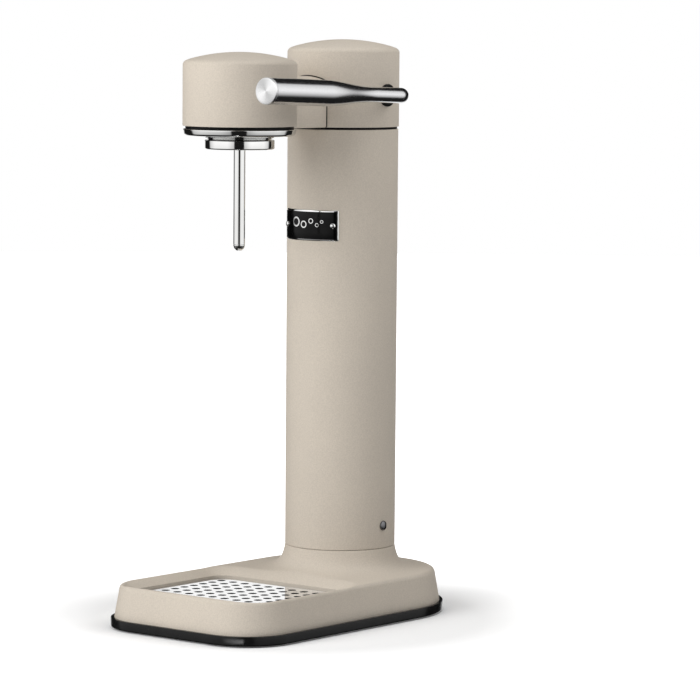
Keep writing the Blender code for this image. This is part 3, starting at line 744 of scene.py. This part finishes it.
def make_feet():
    for name in ("foot_front_left", "foot_front_right", "foot_back_left", "foot_back_right"):
        low, high = span(name)
        radius = (high.x - low.x) / 2
        profile = rounded([(0.0, low.z), (radius - 1.4, low.z, 0.4), (radius, low.z + 0.9, 0.8),
                           (radius, high.z), (0.0, high.z)])
        place = at((low.x + high.x) / 2, (low.y + high.y) / 2)
        turned_piece(name, profile, "rubber", "rubber", place, 64)


def make_grille():
    """Perforated steel plate with softened hole and outer edges."""
    soft = GRILLE_SOFT
    top, bottom = GRILLE_HIGH.z, GRILLE_LOW.z
    half_x, half_y = GRILLE_HIGH.x, (GRILLE_HIGH.y - GRILLE_LOW.y) / 2

    def edge(inset):
        corner = RECESS_CORNER - 0.5 - inset
        front, back = HEAD_Y - half_y + inset, HEAD_Y + half_y - inset
        return rounded_box(half_x - inset, front, back, corner, corner, 10, 10)

    def outline(inset):
        return resample(edge(inset), 3.0, edge(0.0))

    centres = []
    for i in range(HOLES_X):
        for j in range(HOLES_Y):
            centres.append(((i - (HOLES_X - 1) / 2) * HOLE_PITCH_X,
                            HEAD_Y + (j - (HOLES_Y - 1) / 2) * HOLE_PITCH_Y))

    def hole(centre, grow):
        return arc(*centre, HOLE_R + grow, 0, 360, 24)[:-1]

    def solid(grow):
        def test(x, y):
            on_plate = abs(x) < half_x and abs(y - HEAD_Y) < half_y
            return on_plate and all(math.dist((x, y), c) > HOLE_R + grow - 0.05 for c in centres)
        return test

    bm = bmesh.new()
    for z, inset in ((top, soft), (bottom, 0.0)):
        loops = [outline(inset)] + [hole(centre, inset) for centre in centres]
        flat_mesh(bm, loops, [], solid(inset), lambda x, y: z)
    steps = [(0.0, bottom), (0.0, top - soft), (soft * 0.3, top - soft * 0.3), (soft, top)]
    skin(bm, [raised(outline(inset), z) for inset, z in steps])
    for centre in centres:
        skin(bm, [raised(hole(centre, grow), z) for grow, z in steps])
    obj = add_object("drip_grille_skin", bm, LOOKS["grille_steel"], sharp=20.0)
    # The walls and chamfers of the holes get a dark surface: painted shade in the holes.
    obj.data.materials.append(LOOKS["hole_wall_painted_shade"])
    for face in obj.data.polygons:
        x, y, _ = face.center / MM
        inner = abs(x) < half_x - 1.0 and abs(y - HEAD_Y) < half_y - 1.0
        face.material_index = 1 if inner and abs(face.normal.z) < 0.95 else 0
    attach(obj, "polished_steel", "drip_grille", body="drip_grille")


# ---------------- column, cap, head and neck

def screw_head(radius, bottom, edge, top, step_deg):
    """Round head with an upright side up to its edge and a dome above."""
    dome = [(0.0, bottom), (radius, bottom), (radius, edge)]
    for angle in range(step_deg, 91, step_deg):
        t = math.radians(angle)
        dome.append((radius * math.cos(t), edge + (top - edge) * math.sin(t)))
    return dome


def make_column():
    inner = COLUMN_R - COLUMN_WALL
    low, high = COLUMN_LOW.z, COLUMN_HIGH.z
    profile = rounded([(inner, low), (COLUMN_R, low, 0.35), (COLUMN_R, high, 0.35), (inner, high)])
    turned_piece("column_tube", profile, "sand_coat", "sand_coat", ON_COLUMN, 192, "column_skin")
    for name, side in (("column_screw_right", 1.0), ("column_screw_left", -1.0)):
        low, high = span(name)
        radius, reach = (high.z - low.z) / 2, max(abs(low.x), abs(high.x))
        turn = turned(90.0 * side, "Y")
        place = at(0.0, COLUMN_Y, (low.z + high.z) / 2) @ turn
        head = screw_head(radius, COLUMN_R - 1.85, COLUMN_R + 0.5, reach, 10)
        turned_piece(name, head, "screw_steel", "brushed_steel", place, 48)


def dome_profile(radius, apex, bottom, wall):
    """Upright side, small soft edge and shallow dome, as an open-bottomed shell."""
    flat = radius - DOME_EDGE
    corner_z = apex - (DOME_R - math.sqrt(DOME_R ** 2 - flat ** 2))
    outside = [(radius - wall, bottom), (radius - 0.35, bottom), (radius - 0.1, bottom + 0.1),
               (radius, bottom + 0.35)]
    tilt = math.asin(flat / DOME_R)
    for i in range(11):
        t = (math.pi / 2 - tilt) * i / 10
        outside.append((flat + DOME_EDGE * (math.cos(t) - math.sin(tilt) * i / 10),
                        corner_z - DOME_EDGE * (1 - math.sin(t)) * 0.98))
    for i in range(23, -1, -1):
        r = (flat - 0.5) * i / 24
        outside.append((r, apex - DOME_R + math.sqrt(DOME_R ** 2 - r ** 2)))
    inside = [(0.0, apex - wall), (flat - wall, corner_z - wall), (radius - wall, corner_z - wall - 3.0)]
    return outside + inside


def neck_outline(grow, steps=10):
    """Section across the neck: straight sides, a crowned top and small corners, as (x, z) points."""
    half = NECK_HIGH.x + grow
    low = NECK_LOW.z - grow
    crown_r = NECK_CROWN_R + grow
    crown_z = NECK_HIGH.z - NECK_CROWN_R
    corner = NECK_CORNER_R + grow
    meet_x = half - corner
    meet_z = crown_z + math.sqrt((crown_r - corner) ** 2 - meet_x ** 2)
    tilt = math.degrees(math.atan2(meet_z - crown_z, meet_x))
    foot = NECK_FOOT_R + grow
    right = arc(half - foot, low + foot, foot, -90, 0, steps)
    right += arc(meet_x, meet_z, corner, 0, tilt, steps)
    crown = arc(0.0, crown_z, crown_r, tilt, 180 - tilt, 4 * steps)[1:-1]
    return right + crown + [(-x, z) for x, z in reversed(right)]


def make_neck():
    def ring(grow, radius, centre, side):
        outline = neck_outline(grow)
        return [(x, centre + side * math.sqrt(radius ** 2 - x ** 2), z) for x, z in outline]

    loops = [ring(0.0, HEAD_R - 4.0, HEAD_Y, 1.0), ring(0.0, HEAD_R + 3.0, HEAD_Y, 1.0),
             ring(0.0, CAP_R + 3.0, COLUMN_Y, -1.0), ring(0.0, CAP_R + NECK_SEAM + 0.2, COLUMN_Y, -1.0),
             ring(-0.2, CAP_R + NECK_SEAM, COLUMN_Y, -1.0)]
    midway = [((a[0] + b[0]) / 2, (a[1] + b[1]) / 2, a[2]) for a, b in zip(loops[1], loops[2])]
    loops.insert(2, midway)
    attach(loft("neck_skin", loops, LOOKS["sand_coat"]), "sand_coat", "neck_bridge")

    # Dark ring on the cap round the neck's foot, rising a little above its crown: painted shade of the
    # seam.
    def neck_shade_ring(lift, radius):
        loop = []
        for x, z in neck_outline(lift):
            if lift > 0.0:
                z += SEAM_SHADE_CROWN * smoothstep((z - NECK_HIGH.z + 12.0) / 8.0)
            loop.append((x, COLUMN_Y - math.sqrt(radius ** 2 - x ** 2), z))
        return loop

    near, far = CAP_R + 0.06, CAP_R - 0.6
    rings = [neck_shade_ring(-0.8, far), neck_shade_ring(0.1, far), neck_shade_ring(0.1, near), neck_shade_ring(-0.8, near)]
    seam = loft("neck_seam_shade_skin", rings, LOOKS["bushing_and_seam_shade_black"], cap=False, closed=True)
    attach(seam, "black_plastic")


def make_covers():
    for name, place in (("column_cap", ON_COLUMN), ("head_shell", ON_HEAD)):
        radius, bottom, apex = extent(name)
        profile = dome_profile(radius, apex, bottom, LID_WALL)
        turned_piece(name, profile, "sand_coat", "sand_coat", place, 192)


def seam_shade_ring(name, radius, low, high, place):
    """Dark ring that shows through an open seam: painted shade standing in for the depth of the gap."""
    inner = radius - 1.0
    profile = [(inner, low), (radius, low), (radius, high), (inner, high)]
    ring = lathe(name, profile, LOOKS["bushing_and_seam_shade_black"], place, 96)
    attach(ring, "black_plastic")


def make_seam_shades():
    seam_shade_ring("cap_seam_shade_skin", COLUMN_R - 0.9, COLUMN_HIGH.z - 1.0, CAP_LOW.z + 1.0, ON_COLUMN)
    seam_shade_ring("head_seam_shade_skin", HEAD_R - 2.0, FLANGE_TOP - 0.6, HEAD_LOW.z + 1.0, ON_HEAD)


# ---------------- under the head

def make_head_trim():
    def polished(node, profile, steps):
        turned_piece(node, profile, "polished_steel", "polished_steel", ON_HEAD, steps)

    r, low, top = extent("head_flange")
    high, bore_r, neck_r = FLANGE_TOP, FLANGE_BORE_R, FLANGE_NECK_R
    polished("head_flange", rounded([
        (bore_r, low), (30.0, low + 0.8, 6.0), (r - 1.3, low + 1.9, 1.2), (r - 0.5, low + 3.0, 0.8),
        (r, high, 0.5), (neck_r, high), (neck_r, top), (bore_r, top)]), 192)
    r, low, top = extent("bottle_collar")
    high, bore_r, neck_r = COLLAR_RIM_TOP, COLLAR_BORE_R, COLLAR_NECK_R
    polished("bottle_collar", rounded([
        (bore_r, low, 0.3), (r - 0.5, low, 0.5), (r, low + 0.7, 0.8), (r, high, 0.8),
        (neck_r + 0.4, high + 0.6, 0.9), (neck_r, high + 2.4), (neck_r, top), (bore_r, top)]), 160)
    r, low, high = extent("nozzle_tube")
    bore_r = NOZZLE_BORE_R
    polished("nozzle_tube", [(bore_r, low), (r, low), (r, high), (bore_r, high)], 64)
    _, low, high = extent("nozzle_tip")
    bore_r = TIP_BORE_R
    polished("nozzle_tip", rounded([
        (bore_r, low, 0.0), (2.0, low, 0.4), (3.5, low + 1.5, 1.2), (r, high - 0.6, 1.2), (r, high),
        (bore_r, high)]), 64)


# ---------------- lever

def rod_height(y):
    return AXLE_Z + LEVER_RISE * (COLUMN_Y - y)


def smoothstep(t):
    t = min(max(t, 0.0), 1.0)
    return t * t * (3.0 - 2.0 * t)


def lever_radius(y):
    return HANDLE_R - (HANDLE_R - ROD_R) * smoothstep((y - TAPER_END_Y) / TAPER_LENGTH)


def sweep(name, path, radii, mat, sides=64):
    """Round bar along a path, with a radius at each point."""
    rings = []
    side = Vector((0.0, 0.0, 1.0))
    for i, point in enumerate(path):
        along = (path[min(i + 1, len(path) - 1)] - path[max(i - 1, 0)]).normalized()
        side = (side - along * side.dot(along)).normalized()
        other = along.cross(side)
        angles = [math.tau * k / sides for k in range(sides)]
        rings.append([point + radii[i] * (math.cos(t) * side + math.sin(t) * other) for t in angles])
    return loft(name, rings, mat)


def make_lever():
    bend_end = COLUMN_Y - BEND_R
    front = LEVER_LOW.y
    straight_steps = 70
    flat = [(LEVER_LOW.x, COLUMN_Y), (47.0, COLUMN_Y)]
    flat += arc(LEVER_X - BEND_R, bend_end, BEND_R, 90, 0, 16)
    for i in range(1, straight_steps):
        flat.append((LEVER_X, bend_end + (front - bend_end) * i / straight_steps))
    flat.append((LEVER_X, front + 0.35))
    radii = [lever_radius(y) for _, y in flat]
    flat.append((LEVER_X, front))
    radii.append(HANDLE_R - 0.5)
    path = [Vector((x, y, rod_height(y))) for x, y in flat]
    lever = sweep("lever_skin", path, radii, LOOKS["handle_steel"])
    attach(lever, "brushed_steel", "lever", body="lever")

    back = -END_DISC_DEPTH
    disc = [(0.0, back), (HANDLE_R - 0.45, back), (HANDLE_R, back + 0.3), (HANDLE_R, -0.2),
            (HANDLE_R - 0.08, -0.05), (HANDLE_R - 0.25, 0.0)]
    disc += [(HANDLE_R * share, 0.0) for share in (0.8, 0.6, 0.4, 0.2, 0.05, 0.0)]
    turn = turned(90.0, "X") @ Matrix.Rotation(-math.atan(LEVER_RISE), 4, "X")
    tip_y = END_LOW.y + 0.3
    place = at(LEVER_X, tip_y, rod_height(tip_y)) @ turn
    turned_piece("handle_end_cap", disc, "end_steel_painted_glints", "brushed_steel", place, 96, "handle_end_skin",
                 "lever")

    on_axle = at(0.0, COLUMN_Y, AXLE_Z) @ turned(90.0, "Y")
    reach, radius = BUSHING_HIGH.x, (BUSHING_HIGH.z - BUSHING_LOW.z) / 2
    bore_r, inner_end = BUSHING_BORE_R, BUSHING_INNER_X
    bushing = rounded([(bore_r, inner_end), (radius, inner_end), (radius, reach, 0.8),
                       (bore_r, reach, 0.4)])
    turned_piece("axle_bushing_right", bushing, "bushing_and_seam_shade_black", "black_plastic", on_axle, 64)


# ---------------- badge

def wrapped(r, u, z):
    """Point on the column's front, u millimetres round from the middle at column radius."""
    t = math.radians(-90.0) + u / COLUMN_R
    return (r * math.cos(t), COLUMN_Y + r * math.sin(t), z)


def wrapped_plate(name, r0, r1, half_u, low, high, corner, mat, soft=0.12, bend=0.3, steps=60):
    """Plate round the column's front with rounded corners and a softened outer edge."""
    middle = (low + high) / 2

    def edge(inset):
        hu, hz = half_u - inset, (high - low) / 2 - inset
        return rounded_box(hu, -hz, hz, corner - inset, corner - inset, 6, 6)

    def outline(inset):
        return resample(edge(inset), 2 * half_u / steps, edge(0.0))

    loops = [[wrapped(r, u, middle + v) for u, v in outline(inset)]
             for inset, r in ((0.0, r0), (0.0, r1 - soft), (soft * bend, r1 - soft * bend), (soft, r1))]
    bm = bmesh.new()
    skin(bm, loops)
    hu, hz = half_u - soft, (high - low) / 2 - soft
    inner = []
    for i in range(1, steps):
        inner += [(-hu + 2 * hu * i / steps, v) for v in (-hz * 0.5, 0.0, hz * 0.5)]

    def inside(x, y):
        return abs(x) < hu and abs(y) < hz

    face = bmesh.new()
    flat_mesh(face, [outline(soft)], inner, inside, lambda x, y: 0.0)
    for vert in face.verts:
        vert.co = wrapped(r1, vert.co.x, middle + vert.co.y)
    mesh = bpy.data.meshes.new("face")
    face.to_mesh(mesh)
    face.free()
    bm.from_mesh(mesh)
    bpy.data.meshes.remove(mesh)
    return add_object(name, bm, mat)


def bubble_ring(name, r, u, z, outer, inner, mat):
    """Flat ring that stands a little proud of the plate."""
    count = 40
    angles = [math.tau * k / count for k in range(count)]
    loops = []
    for radius, lift in ((inner, -0.1), (inner, 0.07), (outer, 0.07), (outer, -0.1)):
        loops.append([wrapped(r + lift, u + radius * math.cos(t), z + radius * math.sin(t))
                      for t in angles])
    return loft(name, loops, mat, cap=False, closed=True)


def make_badge():
    _, low, high = extent("badge_frame")
    half_u = math.radians(BADGE_HALF_ANGLE) * COLUMN_R
    middle = (low + high) / 2
    steel, black = LOOKS["polished_steel"], LOOKS["gloss_black"]
    frame_plate = wrapped_plate("badge_frame_skin", COLUMN_R - 0.3, BADGE_FRAME_R, half_u, low, high,
                                1.2, steel, 0.75, 0.36)
    attach(frame_plate, "polished_steel", "badge_frame")
    plate = wrapped_plate("badge_plate_skin", BADGE_FRAME_R - 0.3, BADGE_PLATE_R,
                          half_u - BADGE_RIM, low + BADGE_RIM_Z, high - BADGE_RIM_Z, 0.8, black)
    attach(plate, "gloss_black", "badge_plate")
    for i, (u, v, radius) in enumerate(BUBBLES):
        ring = bubble_ring(f"badge_bubble_{i + 1}_skin", BADGE_PLATE_R, u, middle + v, radius,
                           radius * 0.7, steel)
        attach(ring, "polished_steel")
    face = BADGE_PLATE_R + 0.35
    head = screw_head(RIVET_R, BADGE_PLATE_R - 1.0, face, face + 1.1, 15)
    for name, angle in (("badge_rivet_left", -RIVET_ANGLE), ("badge_rivet_right", RIVET_ANGLE)):
        place = at(0.0, COLUMN_Y, middle) @ turned(angle, "Z") @ turned(90.0, "X")
        turned_piece(name, head, "polished_steel", "polished_steel", place, 40)


def make_spring(name, y, wire, turns):
    """Compression spring of a wire radius, wound over the height of its imported piece."""
    low, high = span(name)
    radius = high.x - wire
    steps = round(turns * 24)
    climb = (high.z - low.z - 2 * wire) / steps
    turn = math.tau * turns / steps
    path = []
    for i in range(steps + 1):
        t = i * turn
        path.append(Vector((radius * math.cos(t), y + radius * math.sin(t), low.z + wire + i * climb)))
    spring = sweep(f"{name}_skin", path, [wire] * (steps + 1), LOOKS["spring_steel"], 12)
    attach(spring, "spring_steel", name)
    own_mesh(spring)


def make_springs():
    make_spring("return_spring", COLUMN_Y, 0.5, 3.5)
    make_spring("relief_spring", HEAD_Y, 0.4, 4.0)


def paint_remaining_nodes():
    """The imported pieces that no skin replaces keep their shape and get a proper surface."""
    slots = {part["node"]: part["material_slot"] for part in frame["record"]["subparts"]}
    for name, obj in frame["nodes"].items():
        obj.data.materials.clear()
        obj.data.materials.append(LOOKS[slots[name]])


# ---------------- studio

OVERHEAD_LIGHT, FRONT_LIGHT = 1.55, 0.32
LAMPS = {  # metres to the camera's right, to the front, up, height aimed at, size, then watts
    "key": (-1.5, 1.2, 1.05, 0.3, 1.5, 30.5),
    "side": (0.45, 0.0, 0.62, 0.38, 0.3, 0.9),
}
OVERHEAD_FOCUS = 5.0
GLOW_LEVELS, GLOW_REACH_M = (0.03, 1.0), (0.14, 0.32)  # the floor's own light, near and far
FLOOR_R = 4000.0
BOUNCE_HALF = 30000.0
REFLECTION_R = 6000.0
BACKDROP_R = 8000.0
GLINT_PLACE_MM = (59.0, -185.0, -6.0)
GLINT_TURN = math.radians(16.0)
GLINT_STRETCH = (2.3, 0.35, 1.0, 1.0)
GLINT_LEVEL = 9.0

# What polished metal mirrors. Each edge is dark at its first angle and bright at its second, in
# degrees round from the camera or up from level.
BOX_NEAR, BOX_FAR, BOX_FOOT = (14.5, 18.0), (118.0, 109.0), (-42.0, 12.0)
BOX_FAR_LEAN = 0.3
BOX_LEVEL, CORE_EXTRA = 0.78, 0.55
CORE_NEAR, CORE_FAR = (10.0, 42.0), (122.0, 84.0)
TABLE_NEAR, TABLE_TOP = (150.0, 165.0), (0.5, -0.5)
WALL_NEAR, WALL_FOOT, WALL_TOP = (174.0, 176.5), (20.0, 22.0), (34.0, 32.0)
CEILING_FOOT, CEILING_LEVEL = (62.0, 78.0), 0.6
DARK_LEVEL = 0.012


def emission(name, strength):
    """Plain white light of a strength."""
    mat = bpy.data.materials.new(name)
    mat.use_nodes = True
    nodes = mat.node_tree.nodes
    nodes.clear()
    out = nodes.new("ShaderNodeOutputMaterial")
    glow = nodes.new("ShaderNodeEmission")
    glow.inputs["Color"].default_value = (*grey(1.0), 1.0)
    glow.inputs["Strength"].default_value = strength
    mat.node_tree.links.new(glow.outputs["Emission"], out.inputs["Surface"])
    return mat, glow


def make_camera():
    a, e, roll = CAMERA_YAW, CAMERA_PITCH, CAMERA_ROLL
    back = Vector((math.sin(a) * math.cos(e), -math.cos(a) * math.cos(e), math.sin(e)))
    right = Vector((math.cos(a), math.sin(a), 0.0))
    up = back.cross(right)
    right, up = (math.cos(roll) * right + math.sin(roll) * up,
                 math.cos(roll) * up - math.sin(roll) * right)
    data = bpy.data.cameras.new("photo_camera")
    data.lens = LENS
    data.sensor_width = 36.0
    data.clip_end = 100.0
    camera = new_object("photo_camera", data)
    turn = Matrix((right, up, back)).transposed().to_4x4()
    camera.matrix_world = Matrix.Translation(Vector(CAMERA_PLACE_MM) * MM) @ turn
    bpy.context.scene.camera = camera


def step(tree, value, start, end):
    """0 below start, 1 above end, smooth between; start may be above end."""
    ends = (end, start, 1.0, 0.0) if start > end else (start, end, 0.0, 1.0)
    node = map_range(tree, value, *ends)
    node.interpolation_type = "SMOOTHSTEP"
    return node.outputs["Result"]


def studio_axes(tree, direction):
    """Parts of a direction towards the camera, to the camera's right and up."""
    parts = tree.nodes.new("ShaderNodeSeparateXYZ")
    tree.links.new(direction, parts.inputs[0])
    x, y, z = (parts.outputs[k] for k in "XYZ")
    a = CAMERA_YAW
    toward = math_node(tree, "SUBTRACT", math_node(tree, "MULTIPLY", x, math.sin(a)),
                       math_node(tree, "MULTIPLY", y, math.cos(a)))
    side = math_node(tree, "ADD", math_node(tree, "MULTIPLY", x, math.cos(a)),
                     math_node(tree, "MULTIPLY", y, math.sin(a)))
    return toward, side, z


def make_reflections():
    """A sphere that only glossy rays see: white soft boxes at both sides, dark gaps between them."""
    bm = bmesh.new()
    bmesh.ops.create_uvsphere(bm, u_segments=48, v_segments=24, radius=REFLECTION_R)
    mat, glow = emission("reflection_dome", 1.0)
    dome = add_object("reflection_dome", bm, mat)
    dome.location = (0.0, 0.0, 0.3)
    seen_by(dome, "glossy")
    tree = mat.node_tree
    coords = tree.nodes.new("ShaderNodeTexCoord")
    unit = vector_node(tree, "NORMALIZE", coords.outputs["Object"])
    toward, side, z = studio_axes(tree, unit.outputs["Vector"])

    def calc(operation, *values):
        return math_node(tree, operation, *values)

    def product(first, *others):
        for other in others:
            first = calc("MULTIPLY", first, other)
        return first

    def edge(angle, ends):
        return step(tree, angle, *ends)

    spread = calc("ABSOLUTE", product(calc("ARCTAN2", side, toward), 180.0 / math.pi))
    rise = product(calc("ARCSINE", z), 180.0 / math.pi)
    leaning = calc("SUBTRACT", spread, product(rise, BOX_FAR_LEAN))
    core = product(edge(spread, CORE_NEAR), edge(spread, CORE_FAR))
    level = calc("ADD", product(core, CORE_EXTRA), BOX_LEVEL)
    boxes = product(edge(spread, BOX_NEAR), edge(leaning, BOX_FAR), level, edge(rise, BOX_FOOT))
    table = product(edge(spread, TABLE_NEAR), edge(rise, TABLE_TOP))
    wall = product(edge(spread, WALL_NEAR), edge(rise, WALL_FOOT), edge(rise, WALL_TOP))
    ceiling = product(edge(rise, CEILING_FOOT), CEILING_LEVEL)
    total = calc("MAXIMUM", calc("MAXIMUM", boxes, table), calc("MAXIMUM", wall, ceiling))
    tree.links.new(calc("ADD", total, DARK_LEVEL), glow.inputs["Strength"])
    make_glint_card()


def make_glint_card():
    """Small bright card that only the near corner of the base's trim mirrors."""
    bm = bmesh.new()
    bmesh.ops.create_grid(bm, x_segments=1, y_segments=1, size=16.0)
    mat, glow = emission("glint_card", 0.0)
    tree = mat.node_tree
    across = tree.nodes.new("ShaderNodeSeparateXYZ")
    tree.links.new(tree.nodes.new("ShaderNodeTexCoord").outputs["Generated"], across.inputs[0])
    ramp = math_node(tree, "MULTIPLY", across.outputs["X"], GLINT_LEVEL)
    tree.links.new(ramp, glow.inputs["Strength"])
    card = add_object("glint_card", bm, mat)
    turn = Matrix.Rotation(CAMERA_YAW - GLINT_TURN, 4, "Z") @ turned(90.0, "X")
    turn = turn @ Matrix.Diagonal(GLINT_STRETCH)
    card.matrix_world = Matrix.Translation(Vector(GLINT_PLACE_MM) * MM) @ turn
    seen_by(card, "glossy")
    return card


def seen_by(obj, *rays):
    for ray in ("camera", "diffuse", "glossy", "shadow", "transmission"):
        setattr(obj, f"visible_{ray}", ray in rays)


def make_floor():
    """Pale sweep that the camera sees, and a floor under it that sends light up into the object."""
    bm = bmesh.new()
    bmesh.ops.create_circle(bm, cap_ends=True, segments=96, radius=FLOOR_R)
    s = Surface("studio_floor", Roughness=0.9, Specular_IOR_Level=0.0)
    s.shader.inputs["Emission Color"].default_value = (1.0, 1.0, 1.0, 1.0)
    s.colour(s.blend(s.noise(3.0, 2.0), grey(0.985), grey(0.99)))
    away = vector_node(s.tree, "LENGTH", s.coords.outputs["Object"])
    glow = s.remap(away.outputs["Value"], *GLOW_LEVELS, *GLOW_REACH_M)
    s.link(glow, s.shader.inputs["Emission Strength"])
    floor = add_object("studio_floor", bm, s.mat)
    seen_by(floor, "camera")
    bm = bmesh.new()
    bmesh.ops.create_grid(bm, x_segments=1, y_segments=1, size=BOUNCE_HALF)
    s = Surface("bounce_floor", Roughness=0.9, Specular_IOR_Level=0.0)
    s.colour(s.blend(s.noise(3.0, 2.0), grey(0.80), grey(0.82)))
    bounce = add_object("bounce_floor", bm, s.mat, at(0.0, 0.0, -0.5))
    seen_by(bounce, "diffuse")
    bm = bmesh.new()
    bmesh.ops.create_uvsphere(bm, u_segments=48, v_segments=24, radius=BACKDROP_R)
    backdrop = add_object("backdrop", bm, emission("backdrop", 1.0)[0])
    seen_by(backdrop, "camera")


def make_world():
    """Soft light from overhead, and a weaker one from the camera's side."""
    world = bpy.data.worlds.new("studio")
    bpy.context.scene.world = world
    world.use_nodes = True
    world.cycles_visibility.glossy = False
    world.cycles_visibility.camera = False
    tree = world.node_tree
    background = tree.nodes["Background"]
    coords = tree.nodes.new("ShaderNodeTexCoord")
    toward, _, z = studio_axes(tree, coords.outputs["Generated"])
    above = math_node(tree, "MAXIMUM", z, 0.0)
    focused = math_node(tree, "POWER", above, OVERHEAD_FOCUS)
    overhead = math_node(tree, "MULTIPLY", focused, OVERHEAD_LIGHT)
    front = math_node(tree, "MULTIPLY", math_node(tree, "MAXIMUM", toward, 0.0), FRONT_LIGHT)
    tree.links.new(math_node(tree, "ADD", overhead, front), background.inputs["Strength"])
    background.inputs["Color"].default_value = (1.0, 1.0, 1.0, 1.0)


def make_lamps():
    a = CAMERA_YAW
    right = Vector((math.cos(a), math.sin(a), 0.0))
    front = Vector((math.sin(a), -math.cos(a), 0.0))
    for name, (to_right, to_front, height, aim_height, size, power) in LAMPS.items():
        data = bpy.data.lights.new(name, "AREA")
        data.shape = "SQUARE"
        data.size = size
        data.energy = power
        lamp = new_object(name, data)
        lamp.location = right * to_right + front * to_front + Vector((0.0, 0.0, height))
        aim = Vector((0.0, 0.0, aim_height))
        lamp.rotation_euler = (aim - lamp.location).to_track_quat("-Z", "Y").to_euler()
        lamp.visible_glossy = False
        lamp.visible_camera = False


paint_remaining_nodes()
make_base_shell()
make_trim()
make_feet()
make_grille()
make_column()
make_covers()
make_neck()
make_seam_shades()
make_head_trim()
make_lever()
make_badge()
make_springs()
make_floor()
make_world()
make_lamps()
make_reflections()
make_camera()
bpy.context.scene.view_settings.view_transform = "Standard"
